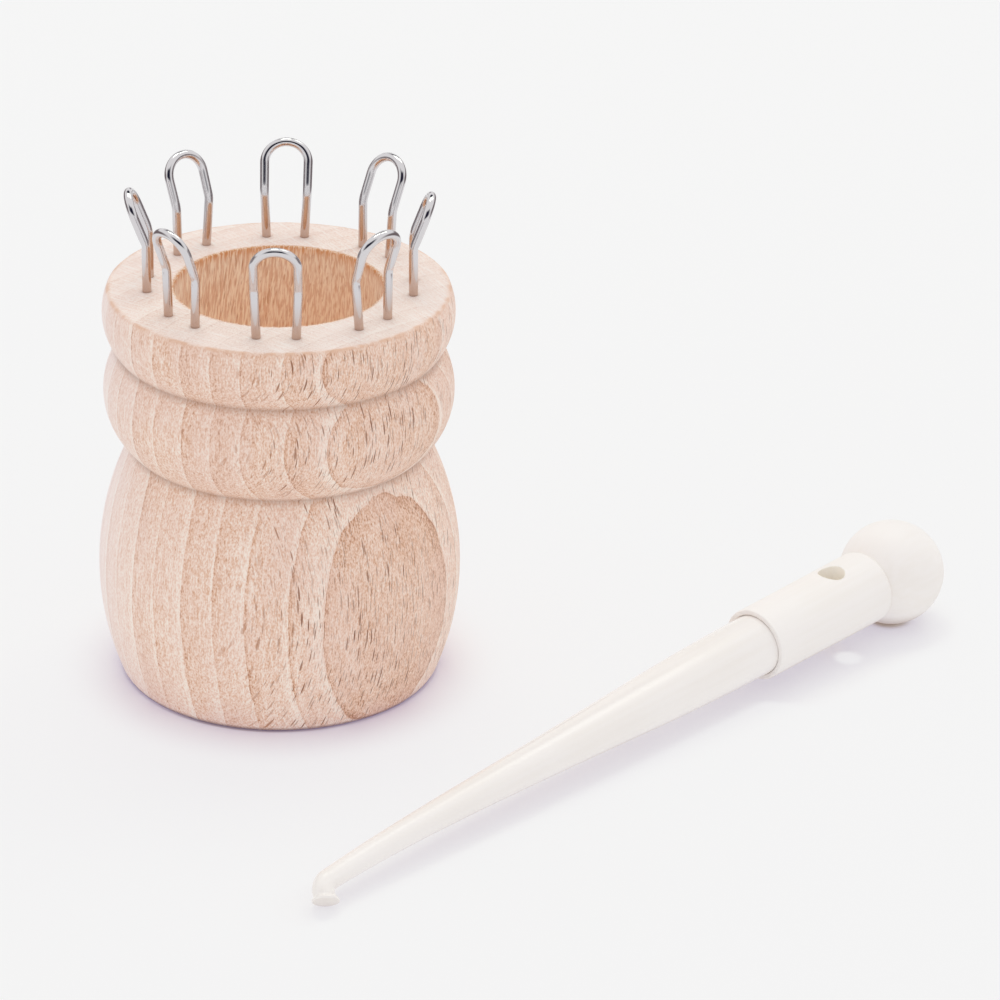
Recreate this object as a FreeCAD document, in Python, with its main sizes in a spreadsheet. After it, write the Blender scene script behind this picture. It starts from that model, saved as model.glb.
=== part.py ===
import FreeCAD, Part
import math
import os
import Sketcher

# A turned wooden knitting spool for i-cord, with a crown of eight bent wire loops round an open
# bore, and its hook tool: a tapered plastic shaft in a sleeve that ends in a ball.
# Millimetres, +Z up.  The origin is the centre of the bore where it meets the base.
# Loop 1 points along -Y.  The tool lies beside the spool on the same surface.

SIZES = [
    # turned body: walls are measured outward from the bore, drops down from the flat top, and a
    # rise is how far an arc stands out from its chord
    ("bore_radius", 18.5, "open bore that the finished cord passes down"),
    ("body_height", 74.05, "base to flat top"),
    ("base_wall", 10.4, "at the table"),
    ("lower_groove_wall", 8.2, "valley between the bulge and the middle bead"),
    ("upper_groove_wall", 10.26, "valley between the two beads"),
    ("rim_wall", 11.87, "at the flat top"),
    ("lower_groove_drop", 29.55, ""),
    ("upper_groove_drop", 11.38, ""),
    ("bulge_rise", 5.0, ""),
    ("middle_bead_rise", 3.59, ""),
    ("top_bead_rise", 1.69, ""),
    ("bore_mouth_round", 0.6, "rounding of the bore's upper edge"),
    ("rim_round", 0.5, "rounding of the top's outer edge"),
    ("base_round", 1.0, "rounding of the base's outer edge"),
    # wire loops
    ("loop_count", 8, "loops round the bore"),
    ("wire_radius", 0.8, "plated spring wire"),
    ("leg_wall", 4.95, "bore to the plane of a loop's two legs"),
    ("leg_spacing", 6.9, "between leg centres at the wood"),
    ("kink_spread", 0.65, "added to the leg spacing at the outward kink and above"),
    ("stem_height", 8.75, "upright stretch above the wood"),
    ("lean_length", 5.1, "from the kink to the centre of the arch"),
    ("lean_angle", 21.0, "outward lean above the kink, degrees"),
    ("kink_bend_radius", 4.0, "bend at the kink, to the wire's centre"),
    ("splay_bend_radius", 10.0, "slight bend where the legs leave the wood"),
    ("leg_depth", 12.0, "leg length inside its drilled hole"),
    ("leg_clearance", 0.02, "radial play of a leg in its hole"),
    # ball handle: stations are measured from the ball's centre
    ("ball_radius", 9.85, ""),
    ("sleeve_length", 39.4, "ball centre to the sleeve's mouth"),
    ("sleeve_wall", 1.03, "round the socket, at the mouth"),
    ("sleeve_growth", 0.2, "added to the sleeve's radius beside the ball"),
    ("sleeve_end_round", 1.0, "rounded shoulder that dips in to the ball"),
    ("mouth_round", 0.5, "rounding of the mouth's outer edge"),
    ("socket_clearance", 0.02, "radial play of the shaft in the socket"),
    ("hang_hole_radius", 2.5, "cross hole for a hanging cord"),
    ("hang_hole_station", 17.9, ""),
    ("socket_web", 2.6, "solid stretch between the cross hole and the socket"),
    # hook shaft: stations are measured from the sleeve's mouth
    ("shaft_root_radius", 5.7, "in the socket and at the mouth"),
    ("shoulder_station", 32.6, "where the full stretch turns into the slim one"),
    ("shoulder_radius", 4.72, ""),
    ("full_stretch_rise", 0.19, "the full stretch is slightly barrelled"),
    ("slim_stretch_hollow", 0.29, "the slim stretch is slightly hollow"),
    ("shaft_length", 106.6, "mouth to the start of the hook's bend"),
    ("shaft_tip_radius", 1.93, "slim end and bent leg"),
    ("hook_bend_radius", 3.4, "bend, to the leg's centre"),
    ("hook_bend_angle", 58.0, "degrees"),
    ("hook_leg_length", 1.9, "end of the bend to the centre of the nose"),
    ("nose_swell", 0.37, "added to the leg's radius for the ball-shaped nose"),
    ("nose_crop", 0.475, "height taken off the nose by its flat end"),
    ("nose_inset", 0.4, "nose set towards the inside of the bend"),
    # resting place of the tool
    ("tool_ball_x", 114.55, ""),
    ("tool_ball_y", 17.16, ""),
    ("tool_heading", -135.4, "direction of the shaft in plan, degrees"),
    ("hook_roll", 46.0, "bend direction below the horizontal, degrees"),
]

# places that follow from the sizes
BASE_RADIUS = "bore_radius + base_wall"
RIM_RADIUS = "bore_radius + rim_wall"
LEG_CIRCLE_RADIUS = "bore_radius + leg_wall"
KINK_SPACING = "leg_spacing + kink_spread"
SOCKET_RADIUS = "shaft_root_radius + socket_clearance"
SOCKET_END = "hang_hole_station + hang_hole_radius + socket_web"
SLEEVE_MOUTH_RADIUS = f"{SOCKET_RADIUS} + sleeve_wall"
SLEEVE_ROOT_RADIUS = f"{SLEEVE_MOUTH_RADIUS} + sleeve_growth"
NECK_RADIUS = f"{SLEEVE_ROOT_RADIUS} - sleeve_end_round"
NECK_STATION = f"sqrt(ball_radius ^ 2 - ({NECK_RADIUS}) ^ 2)"
SHAFT_END = "sleeve_length + shaft_length"
NOSE_RADIUS = "shaft_tip_radius + nose_swell"

LENGTH_TOLERANCE = 1e-3
SWEEP_VOLUME_TOLERANCE = 0.01

# how a sketch numbers its own axes, -1 and -2, and the points of an element, 1 to 3
SKETCH_X_AXIS, SKETCH_Y_AXIS = range(-1, -3, -1)
START, END, CENTRE = range(1, 4)

X_AXIS = FreeCAD.Vector(1, 0, 0)
Y_AXIS = FreeCAD.Vector(0, 1, 0)
Z_AXIS = FreeCAD.Vector(0, 0, 1)
ORIGIN = FreeCAD.Vector(0, 0, 0)

doc = FreeCAD.newDocument("cord_spool")
sheet = doc.addObject("Spreadsheet::Sheet", "Sizes")
for row, (alias, value, note) in enumerate(SIZES, start=1):
    sheet.set(f"A{row}", alias)
    sheet.set(f"B{row}", str(value))
    sheet.set(f"C{row}", note)
    sheet.setAlias(f"B{row}", alias)
doc.recompute()


def size(formula):
    """Value of a size, or of a formula of sizes, in millimetres or degrees."""
    return float(sheet.evalExpression(formula))


def bound(formula):
    """The same formula as another object of the document has to spell it."""
    longest_first = sorted((alias for alias, _, _ in SIZES), key=len, reverse=True)
    spelled = formula
    for index, alias in enumerate(longest_first):
        spelled = spelled.replace(alias, f"<{index}>")
    for index, alias in enumerate(longest_first):
        spelled = spelled.replace(f"<{index}>", f"Sizes.{alias}")
    return spelled


# ---------------------------------------------------------------- bodies and sketches

def new_body(label):
    """An empty body whose label names its node."""
    body = doc.addObject("PartDesign::Body", label)
    body.Label = label
    return body


def new_sketch(body, name, role, offset=None):
    """A sketch on one of the body's origin planes; offset holds formulas for its place there."""
    plane = next(item for item in body.Origin.OriginFeatures if item.Role == role)
    sketch = body.newObject("Sketcher::SketchObject", name)
    sketch.AttachmentSupport = [(plane, "")]
    sketch.MapMode = "FlatFace"
    for path, formula in (offset or {}).items():
        sketch.setExpression(f"AttachmentOffset.{path}", bound(formula))
    return sketch


def hold_point(sketch, element, point, place):
    """Fix one point of a sketch element at a place given by two formulas."""
    for axis, zero_axis, formula in (("X", SKETCH_Y_AXIS, place[0]), ("Y", SKETCH_X_AXIS, place[1])):
        if formula == "0":
            on_axis = Sketcher.Constraint("PointOnObject", element, point, zero_axis)
            sketch.addConstraint(on_axis)
            continue
        distance = Sketcher.Constraint(f"Distance{axis}", SKETCH_X_AXIS, START, element, point,
                                       size(formula))
        index = sketch.addConstraint(distance)
        sketch.setExpression(f"Constraints[{index}]", bound(formula))


def sketch_vector(place):
    """A place given by two formulas, as a vector in the sketch's plane."""
    return FreeCAD.Vector(size(place[0]), size(place[1]), 0)


def bowed(start, end, rise):
    """Formulas for the middle of the arc from start to end that stands off its chord by a rise,
    to the right of the way it runs."""
    run = f"({end[0]} - ({start[0]}))"
    climb = f"({end[1]} - ({start[1]}))"
    chord = f"sqrt({run} ^ 2 + {climb} ^ 2)"
    return (f"({start[0]} + {end[0]}) / 2 + {rise} * {climb} / {chord}",
            f"({start[1]} + {end[1]}) / 2 - {rise} * {run} / {chord}")


def arc_through(start, middle, end):
    """Arc through three points of a sketch, and whether it runs anticlockwise."""
    anticlockwise = (middle - start).cross(end - middle).z > 0
    bow = Part.Arc(start, middle, end).toShape().Curve
    spokes = [point - bow.Center for point in ((start, end) if anticlockwise else (end, start))]
    first, last = [math.atan2(spoke.y, spoke.x) for spoke in spokes]
    if last < first:
        last += 2 * math.pi
    return Part.ArcOfCircle(Part.Circle(bow.Center, Z_AXIS, bow.Radius), first, last), anticlockwise


def outline(sketch, corners):
    """Closed outline through corners, each (place) or (place, way).  The way to the next corner
    is straight, or an arc: through a place, or with a rise."""
    starts = []
    ends = []
    for index, (place, *way) in enumerate(corners):
        next_place = corners[(index + 1) % len(corners)][0]
        if not way:
            line = Part.LineSegment(sketch_vector(place), sketch_vector(next_place))
            element = sketch.addGeometry(line, False)
            starts.append((element, START))
            ends.append((element, END))
            continue
        middle = way[0] if isinstance(way[0], tuple) else bowed(place, next_place, way[0])
        arc, anticlockwise = arc_through(*map(sketch_vector, (place, middle, next_place)))
        element = sketch.addGeometry(arc, False)
        starts.append((element, START if anticlockwise else END))
        ends.append((element, END if anticlockwise else START))
        mark = sketch.addGeometry(Part.Point(sketch_vector(middle)), True)
        hold_point(sketch, mark, START, middle)
        sketch.addConstraint(Sketcher.Constraint("PointOnObject", mark, START, element))
    for start, end, corner in zip(starts, ends[-1:] + ends[:-1], corners):
        sketch.addConstraint(Sketcher.Constraint("Coincident", *end, *start))
        hold_point(sketch, *start, corner[0])


def add_circle(sketch, centre, radius):
    """A full circle in a sketch, its centre and radius given by formulas."""
    circle = Part.Circle(sketch_vector(centre), Z_AXIS, size(radius))
    element = sketch.addGeometry(circle, False)
    hold_point(sketch, element, CENTRE, centre)
    index = sketch.addConstraint(Sketcher.Constraint("Radius", element, size(radius)))
    sketch.setExpression(f"Constraints[{index}]", bound(radius))


def revolve(body, name, sketch, axis):
    """Full turn of a sketch about one of its own axes."""
    feature = body.newObject("PartDesign::Revolution", name)
    feature.Profile = sketch
    feature.ReferenceAxis = (sketch, [axis])
    feature.Angle = 360
    doc.recompute()


def cut(body, name, sketch, depth, both_ways=False):
    """Pocket of a sketch that has to take material away."""
    before = body.Shape.Volume
    feature = body.newObject("PartDesign::Pocket", name)
    feature.Profile = sketch
    feature.setExpression("Length", bound(depth))
    feature.Midplane = both_ways
    doc.recompute()
    if body.Shape.Volume > before - LENGTH_TOLERANCE:
        feature.Reversed = True
        doc.recompute()
    if body.Shape.Volume > before - LENGTH_TOLERANCE:
        raise RuntimeError(f"{name} removed nothing")
    return feature


def round_ring(body, name, radius, station, axis, rounding):
    """Fillet on the circular edge of one radius round an axis, at one place along it."""
    edges = []
    for index, edge in enumerate(body.Shape.Edges, start=1):
        if edge.Degenerated or not isinstance(edge.Curve, Part.Circle):
            continue
        off_radius = abs(edge.Curve.Radius - size(radius))
        off_station = abs(edge.Curve.Center.dot(axis) - size(station))
        if max(off_radius, off_station) < LENGTH_TOLERANCE:
            edges.append(f"Edge{index}")
    if not edges:
        raise RuntimeError(f"{name} found no edge")
    base = body.Tip
    feature = body.newObject("PartDesign::Fillet", name)
    feature.Base = (base, edges)
    feature.setExpression("Radius", bound(rounding))
    doc.recompute()


# ---------------------------------------------------------------- spool body

def make_spool_body():
    """One turned piece: bulge, two beads, flat top, open bore and the drilled leg holes."""
    body = new_body("spool_body")
    profile = new_sketch(body, "body_profile", "XZ_Plane")
    outline(profile, [
        (("0", "0"),),
        ((BASE_RADIUS, "0"), "bulge_rise"),
        (("bore_radius + lower_groove_wall", "body_height - lower_groove_drop"),
         "middle_bead_rise"),
        (("bore_radius + upper_groove_wall", "body_height - upper_groove_drop"),
         "top_bead_rise"),
        ((RIM_RADIUS, "body_height"),),
        (("0", "body_height"),),
    ])
    revolve(body, "turned_body", profile, "V_Axis")

    bore = new_sketch(body, "bore_circle", "XY_Plane")
    add_circle(bore, ("0", "0"), "bore_radius")
    cut(body, "cord_bore", bore, "body_height")
    round_ring(body, "bore_mouth", "bore_radius", "body_height", Z_AXIS, "bore_mouth_round")
    round_ring(body, "rim", RIM_RADIUS, "body_height", Z_AXIS, "rim_round")
    round_ring(body, "base_edge", BASE_RADIUS, "0", Z_AXIS, "base_round")

    legs = new_sketch(body, "leg_circles", "XY_Plane", {"Base.z": "body_height"})
    for side in ("", "-"):
        add_circle(legs, (f"{side}leg_spacing / 2", f"-({LEG_CIRCLE_RADIUS})"),
                   "wire_radius + leg_clearance")
    holes = cut(body, "leg_holes", legs, "leg_depth")
    crown = body.newObject("PartDesign::PolarPattern", "leg_hole_crown")
    crown.Originals = [holes]
    crown.Axis = (legs, ["N_Axis"])
    crown.Angle = 360
    crown.setExpression("Occurrences", bound("loop_count"))
    body.Tip = crown
    doc.recompute()
    return body


# ---------------------------------------------------------------- wire loops

def tangent_bend(before, corner, after, radius):
    """The start, the middle and the end of an arc that rounds a corner."""
    back = (before - corner).normalize()
    on = (after - corner).normalize()
    half_turn = (math.pi - back.getAngle(on)) / 2
    reach = radius * math.tan(half_turn)
    inward = (back + on).normalize()
    centre = corner + inward * (radius / math.cos(half_turn))
    return corner + back * reach, centre - inward * radius, corner + on * reach


def loop_frame():
    """In the loop's own frame, X across, Y outward and Z up from the wood: the centre of the
    arch and the direction in which the loop leans."""
    lean = math.radians(size("lean_angle"))
    outward = FreeCAD.Vector(0, math.sin(lean), math.cos(lean))
    return Z_AXIS * size("stem_height") + outward * size("lean_length"), outward


def leg_edges(side):
    """Runs and bends of one leg, from its foot to the arch; side is -1 or 1."""
    arch_centre, _ = loop_frame()
    foot = X_AXIS * (side * size("leg_spacing") / 2)
    aside = X_AXIS * (side * size(KINK_SPACING) / 2)
    kink = aside + Z_AXIS * size("stem_height")
    points = [foot - Z_AXIS * size("leg_depth"), foot, kink, arch_centre + aside]
    edges = []
    start = points[0]
    for index, radius in ((1, "splay_bend_radius"), (2, "kink_bend_radius")):
        bend = tangent_bend(*points[index - 1:index + 2], size(radius))
        edges.append(Part.LineSegment(start, bend[0]).toShape())
        edges.append(Part.Arc(*bend).toShape())
        start = bend[2]
    edges.append(Part.LineSegment(start, points[-1]).toShape())
    return edges


def loop_path():
    """Centre line of a whole loop, from one foot over the arch to the other."""
    arch_centre, outward = loop_frame()
    arch_radius = size(KINK_SPACING) / 2
    arch = Part.Arc(arch_centre - X_AXIS * arch_radius, arch_centre + outward * arch_radius,
                    arch_centre + X_AXIS * arch_radius).toShape()
    return Part.Wire(leg_edges(-1) + [arch] + leg_edges(1)[::-1])


def make_wire_loop(number):
    """One bent wire loop, swept along its centre line and stood in its two holes."""
    turn = FreeCAD.Rotation(Z_AXIS, 360 / size("loop_count") * (number - 1))
    outward_to_minus_y = FreeCAD.Rotation(Z_AXIS, 180)
    at_first_loop = FreeCAD.Vector(0, -size(LEG_CIRCLE_RADIUS), size("body_height"))
    stand = FreeCAD.Placement(turn.multVec(at_first_loop), turn.multiply(outward_to_minus_y))
    path = doc.addObject("Part::Feature", f"loop_path_{number}")
    path.Shape = loop_path()
    path.Placement = stand
    section = doc.addObject("Part::Circle", f"loop_section_{number}")
    section.setExpression("Radius", bound("wire_radius"))
    foot = FreeCAD.Vector(-size("leg_spacing") / 2, 0, -size("leg_depth"))
    section.Placement = stand.multiply(FreeCAD.Placement(foot, FreeCAD.Rotation()))
    loop = doc.addObject("Part::Sweep", f"wire_loop_{number}")
    loop.Label = f"wire_loop_{number}"
    loop.Sections = [section]
    loop.Spine = (path, [f"Edge{index + 1}" for index in range(len(path.Shape.Edges))])
    loop.Solid = True
    loop.Frenet = False
    doc.recompute()
    expected = path.Shape.Length * math.pi * size("wire_radius") ** 2
    if abs(loop.Shape.Volume / expected - 1) > SWEEP_VOLUME_TOLERANCE:
        raise RuntimeError(f"{loop.Label} is not a sound sweep")
    return loop


# ---------------------------------------------------------------- hook tool

def make_ball_handle():
    """Ball and sleeve in one moulding, along +X from the ball, with socket and cross hole."""
    body = new_body("ball_handle")
    shoulder_middle = (f"{NECK_STATION} + (1 - cos(45)) * sleeve_end_round",
                       f"{NECK_RADIUS} + cos(45) * sleeve_end_round")
    profile = new_sketch(body, "handle_profile", "XZ_Plane")
    outline(profile, [
        (("-ball_radius", "0"), ("0", "ball_radius")),
        ((NECK_STATION, NECK_RADIUS), shoulder_middle),
        ((f"{NECK_STATION} + sleeve_end_round", SLEEVE_ROOT_RADIUS),),
        (("sleeve_length", SLEEVE_MOUTH_RADIUS),),
        (("sleeve_length", SOCKET_RADIUS),),
        ((SOCKET_END, SOCKET_RADIUS),),
        ((SOCKET_END, "0"),),
    ])
    revolve(body, "turned_handle", profile, "H_Axis")
    round_ring(body, "mouth_edge", SLEEVE_MOUTH_RADIUS, "sleeve_length", X_AXIS, "mouth_round")
    hole = new_sketch(body, "hang_circle", "XY_Plane")
    add_circle(hole, ("hang_hole_station", "0"), "hang_hole_radius")
    cut(body, "hang_hole", hole, "2 * ball_radius", both_ways=True)
    return body


def hook_directions():
    """At the end of the hook's bend: outward from the bend's centre, and along the leg."""
    bend = math.radians(size("hook_bend_angle"))
    outward = FreeCAD.Vector(math.sin(bend), 0, math.cos(bend))
    along = FreeCAD.Vector(math.cos(bend), 0, -math.sin(bend))
    return outward, along


def hook_bend_centre():
    """Centre of the hook's bend in the shaft's own frame."""
    return FreeCAD.Vector(size(SHAFT_END), 0, -size("hook_bend_radius"))


def nose_centre():
    """Centre of the hook's nose in the shaft's own frame."""
    outward, along = hook_directions()
    return (hook_bend_centre() + outward * size("hook_bend_radius - nose_inset")
            + along * size("hook_leg_length"))


def make_hook_shaft():
    """Tapered shaft along +X from the socket, its end bent towards -Z, with a ball nose."""
    taper = new_body("shaft_taper")
    profile = new_sketch(taper, "shaft_profile", "XZ_Plane")
    outline(profile, [
        ((SOCKET_END, "0"),),
        ((SHAFT_END, "0"),),
        ((SHAFT_END, "shaft_tip_radius"), "-slim_stretch_hollow"),
        (("sleeve_length + shoulder_station", "shoulder_radius"), "full_stretch_rise"),
        (("sleeve_length", "shaft_root_radius"),),
        ((SOCKET_END, "shaft_root_radius"),),
    ])
    revolve(taper, "turned_shaft", profile, "H_Axis")

    bend = doc.addObject("Part::Torus", "hook_bend")
    bend.setExpression("Radius1", bound("hook_bend_radius"))
    bend.setExpression("Radius2", bound("shaft_tip_radius"))
    bend.setExpression("Angle3", bound("hook_bend_angle"))
    flat_to_shaft = FreeCAD.Rotation(Z_AXIS, X_AXIS, Y_AXIS, "XYZ")
    bend.Placement = FreeCAD.Placement(hook_bend_centre(), flat_to_shaft)

    outward, along = hook_directions()
    bend_end = hook_bend_centre() + outward * size("hook_bend_radius")
    leg = doc.addObject("Part::Cylinder", "hook_leg")
    leg.setExpression("Radius", bound("shaft_tip_radius"))
    leg.setExpression("Height", bound("hook_leg_length"))
    leg.Placement = FreeCAD.Placement(bend_end, FreeCAD.Rotation(Z_AXIS, along))

    nose = doc.addObject("Part::Sphere", "hook_nose")
    nose.setExpression("Radius", bound(NOSE_RADIUS))
    nose.setExpression("Angle2", bound(f"asin(1 - nose_crop / ({NOSE_RADIUS}))"))
    nose.Placement = FreeCAD.Placement(nose_centre(), FreeCAD.Rotation(Z_AXIS, along))

    shaft = doc.addObject("Part::MultiFuse", "hook_shaft")
    shaft.Label = "hook_shaft"
    shaft.Shapes = [taper, bend, leg, nose]
    doc.recompute()
    return shaft


def tool_pose():
    """Resting pose of the tool: ball and nose both stand on the table."""
    nose = nose_centre()
    below_axis = -nose.z * math.sin(math.radians(size("hook_roll")))
    fall = size(f"ball_radius - ({NOSE_RADIUS})")
    pitch = (math.asin(fall / math.hypot(nose.x, below_axis))
             - math.atan2(below_axis, nose.x))
    heading = FreeCAD.Rotation(Z_AXIS, size("tool_heading"))
    dip = FreeCAD.Rotation(Y_AXIS, math.degrees(pitch))
    ball = FreeCAD.Vector(size("tool_ball_x"), size("tool_ball_y"), size("ball_radius"))
    return FreeCAD.Placement(ball, heading.multiply(dip))


def main():
    """Build every piece, check the document, and write one file for each piece."""
    spool = make_spool_body()
    loops = [make_wire_loop(number) for number in range(1, int(size("loop_count")) + 1)]
    handle = make_ball_handle()
    shaft = make_hook_shaft()
    handle.Placement = tool_pose()
    roll = FreeCAD.Rotation(X_AXIS, 90 - size("hook_roll"))
    shaft.Placement = tool_pose().multiply(FreeCAD.Placement(ORIGIN, roll))
    doc.recompute()

    for item in doc.Objects:
        if "Invalid" in item.State or "Error" in item.State:
            raise RuntimeError(f"{item.Label} failed: {item.State}")
    os.makedirs("parts", exist_ok=True)
    for piece in [spool, *loops, handle, shaft]:
        shape = piece.Shape
        if shape.isNull() or not shape.isValid() or len(shape.Solids) != 1:
            raise RuntimeError(f"{piece.Label} is not one valid solid")
        shape.exportStep(f"parts/{piece.Label}.step")
        box = shape.optimalBoundingBox()
        print(f"{piece.Label:12s} {shape.Volume:10.1f} mm3   x {box.XMin:8.2f} {box.XMax:8.2f}"
              f"   y {box.YMin:8.2f} {box.YMax:8.2f}   z {box.ZMin:7.3f} {box.ZMax:7.3f}")


main()
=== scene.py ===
"""The looks of a turned beech cord spool with eight wire loops, and of its hook tool.

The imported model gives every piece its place.  Each piece is made again here in that place, as a
fine surface worked out with numpy, and dressed in a procedural finish.  Sizes are millimetres,
+Z is up, and the origin is the centre of the bore where it meets the base; MM turns them into
metres when a mesh is written.  Loop 1 points along -Y, and the others follow it round.
"""

import logging
import math
from dataclasses import dataclass, field
from enum import Enum

import bpy
import numpy as np
from mathutils import Matrix, Vector


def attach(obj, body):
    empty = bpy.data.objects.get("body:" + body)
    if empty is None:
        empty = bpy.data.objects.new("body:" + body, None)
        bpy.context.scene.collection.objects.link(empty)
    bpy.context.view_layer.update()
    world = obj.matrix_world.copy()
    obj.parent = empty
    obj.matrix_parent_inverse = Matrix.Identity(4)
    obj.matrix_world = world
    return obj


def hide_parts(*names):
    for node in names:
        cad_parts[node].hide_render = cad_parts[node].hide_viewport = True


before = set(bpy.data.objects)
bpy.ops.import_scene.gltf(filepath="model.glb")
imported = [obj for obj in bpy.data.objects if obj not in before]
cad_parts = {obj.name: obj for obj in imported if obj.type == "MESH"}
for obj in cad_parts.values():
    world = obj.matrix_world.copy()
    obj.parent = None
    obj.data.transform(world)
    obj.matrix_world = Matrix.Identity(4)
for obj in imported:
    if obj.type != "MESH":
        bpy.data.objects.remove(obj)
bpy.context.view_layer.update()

MM = 0.001

# Sizes that the spool and its loops share.
BORE_RADIUS = 18.5
SPOOL_HEIGHT = 74.05

# Downward part of a normal where an underside begins, and where it is full.
SIDEWAYS, FACING_DOWN = 0.5, 0.82

Array = np.ndarray
Triple = tuple[float, float, float]
Colour = Triple
Socket = bpy.types.NodeSocket
Value = Socket | float
log = logging.getLogger("spool")


class Body(Enum):
    """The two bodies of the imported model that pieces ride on."""

    SPOOL = "spool"
    TOOL = "hook_tool"


class Slot(Enum):
    """The record's material slots."""

    BEECH = "beech"
    WIRE = "chrome_wire"
    PLASTIC = "cream_plastic"


# ---------------------------------------------------------------- numbers and colours

def linear(red: int, green: int, blue: int) -> Colour:
    """Turn a screen colour into a linear one.

    Args:
        red: Red part, 0 to 255.
        green: Green part, 0 to 255.
        blue: Blue part, 0 to 255.

    Returns:
        The three linear parts: the share to the power 2.4 after its offset, or a twelfth of it
        near black.
    """
    share = np.array([red, green, blue]) / 255
    curved = ((share + 0.055) / 1.055) ** 2.4
    return tuple(float(part) for part in np.where(share <= 0.04045, share / 12.92, curved))


def smooth_step(value: Array, low: float, high: float) -> Array:
    """Rise from 0 at low to 1 at high along 3t^2 - 2t^3, where t is the share of the way."""
    share = np.clip((value - low) / (high - low), 0, 1)
    return share * share * (3 - 2 * share)


def bump_at(distance: Array, width: float) -> Array:
    """A bell of height 1 at distance 0: e to the minus half the square of distance / width."""
    return np.exp(-0.5 * (distance / width) ** 2)


def turns_of(columns: int) -> Array:
    """Angles at equal steps once round a circle, radians."""
    return np.linspace(0, math.tau, columns, endpoint=False)


@dataclass(frozen=True)
class Ripple:
    """Uneven wave round a circle, with a mean square of about a half.

    Attributes:
        fewest: Fewest waves in one turn.
        most: Most waves in one turn.
        count: Number of sine waves added up.
        seed: Seed of the draw of wave numbers and phases.
    """

    fewest: int
    most: int
    count: int
    seed: int

    def at(self, angle: Array) -> Array:
        """Height of the wave.

        Args:
            angle: Places round the circle, radians.

        Returns:
            The sum over the drawn waves of sin(wave * angle + phase), over the root of their
            count.
        """
        draw = np.random.default_rng(self.seed)
        numbers = draw.integers(self.fewest, self.most, self.count, endpoint=True)
        phases = draw.uniform(0, math.tau, self.count)
        return np.sin(angle[..., None] * numbers + phases).sum(axis=-1) / math.sqrt(self.count)


# ---------------------------------------------------------------- outlines and routes

def bowed(start: Array, end: Array, rise: float, count: int = 80) -> Array:
    """Circular arc between two places of a plane that stands off its chord.

    Args:
        start: First place.
        end: Last place.
        rise: How far the arc's middle stands off, to the right of the way it runs.
        count: Number of points.

    Returns:
        Points (count, 2).  The circle's centre lies on the chord's upright bisector, at the
        radius (half chord squared + rise squared) / (2 rise) less the rise from the chord.
    """
    start, end = np.asarray(start, float), np.asarray(end, float)
    chord = np.linalg.norm(end - start)
    along = (end - start) / chord
    right = np.array([along[1], -along[0]])
    radius = (chord * chord / 4 + rise * rise) / (2 * rise)
    centre = (start + end) / 2 - right * (radius - rise)
    half = math.asin(chord / 2 / abs(radius))
    turn = np.linspace(-half, half, count)[:, None]
    return centre + radius * (np.cos(turn) * right + math.copysign(1, rise) * np.sin(turn) * along)


def path_length(points: Array) -> Array:
    """Running length of a line of points, from 0 at its first."""
    steps = np.linalg.norm(np.diff(points, axis=0), axis=1)
    return np.concatenate([[0.0], np.cumsum(steps)])


def resampled(points: Array, places: Array) -> Array:
    """Points of a line at given running lengths, straight between its own points."""
    length = path_length(points)
    return np.stack([np.interp(places, length, part) for part in points.T], axis=1)


def softened(points: Array, width: Array, closed: bool) -> Array:
    """Round the corners of an evenly spaced line.

    Args:
        points: Places (n, 2), evenly spaced.
        width: For each place, the spread of the bell-shaped mean taken there, in its units.
        closed: Whether the line's end joins its start.

    Returns:
        Each place replaced by the mean of its neighbours, weighted by a bell over the length
        between them.  An open line keeps its two ends.
    """
    length = path_length(points)
    apart = np.abs(length[:, None] - length)
    if closed:
        whole = length[-1] + np.linalg.norm(points[0] - points[-1])
        apart = np.minimum(apart, whole - apart)
    weight = bump_at(apart, width[:, None])
    mean = weight @ points / weight.sum(axis=1, keepdims=True)
    if not closed:
        mean[[0, -1]] = points[[0, -1]]
    return mean


def spread_rows(length: Array, density: Array, rows: int) -> Array:
    """Running lengths at which to place rows, close together where density is high.

    Args:
        length: Running length of a line's points.
        density: Rows wanted per unit of length there, up to a factor.
        rows: Number of rows.

    Returns:
        Lengths at equal steps of the running total of density.
    """
    total = np.concatenate([[0.0], np.cumsum((density[1:] + density[:-1]) / 2 * np.diff(length))])
    return np.interp(np.linspace(0, total[-1], rows), total, length)


def rounded_corner(before: Array, corner: Array, after: Array, radius: float, count: int) -> Array:
    """Points of the arc that rounds a corner of a route and touches both its runs.

    Args:
        before: Place ahead of the corner.
        corner: The corner.
        after: Place past the corner.
        radius: Radius of the arc.
        count: Number of points.

    Returns:
        Points (count, 3): the arc's centre is on the corner's bisector, at the radius over the
        cosine of half the turn.
    """
    back = (before - corner) / np.linalg.norm(before - corner)
    onward = (after - corner) / np.linalg.norm(after - corner)
    half_turn = (math.pi - math.acos(float(back @ onward))) / 2
    inward = (back + onward) / np.linalg.norm(back + onward)
    ahead = (onward - back) / np.linalg.norm(onward - back)
    centre = corner + inward * radius / math.cos(half_turn)
    turn = np.linspace(-half_turn, half_turn, count)[:, None]
    return centre + radius * (np.sin(turn) * ahead - np.cos(turn) * inward)


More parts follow.
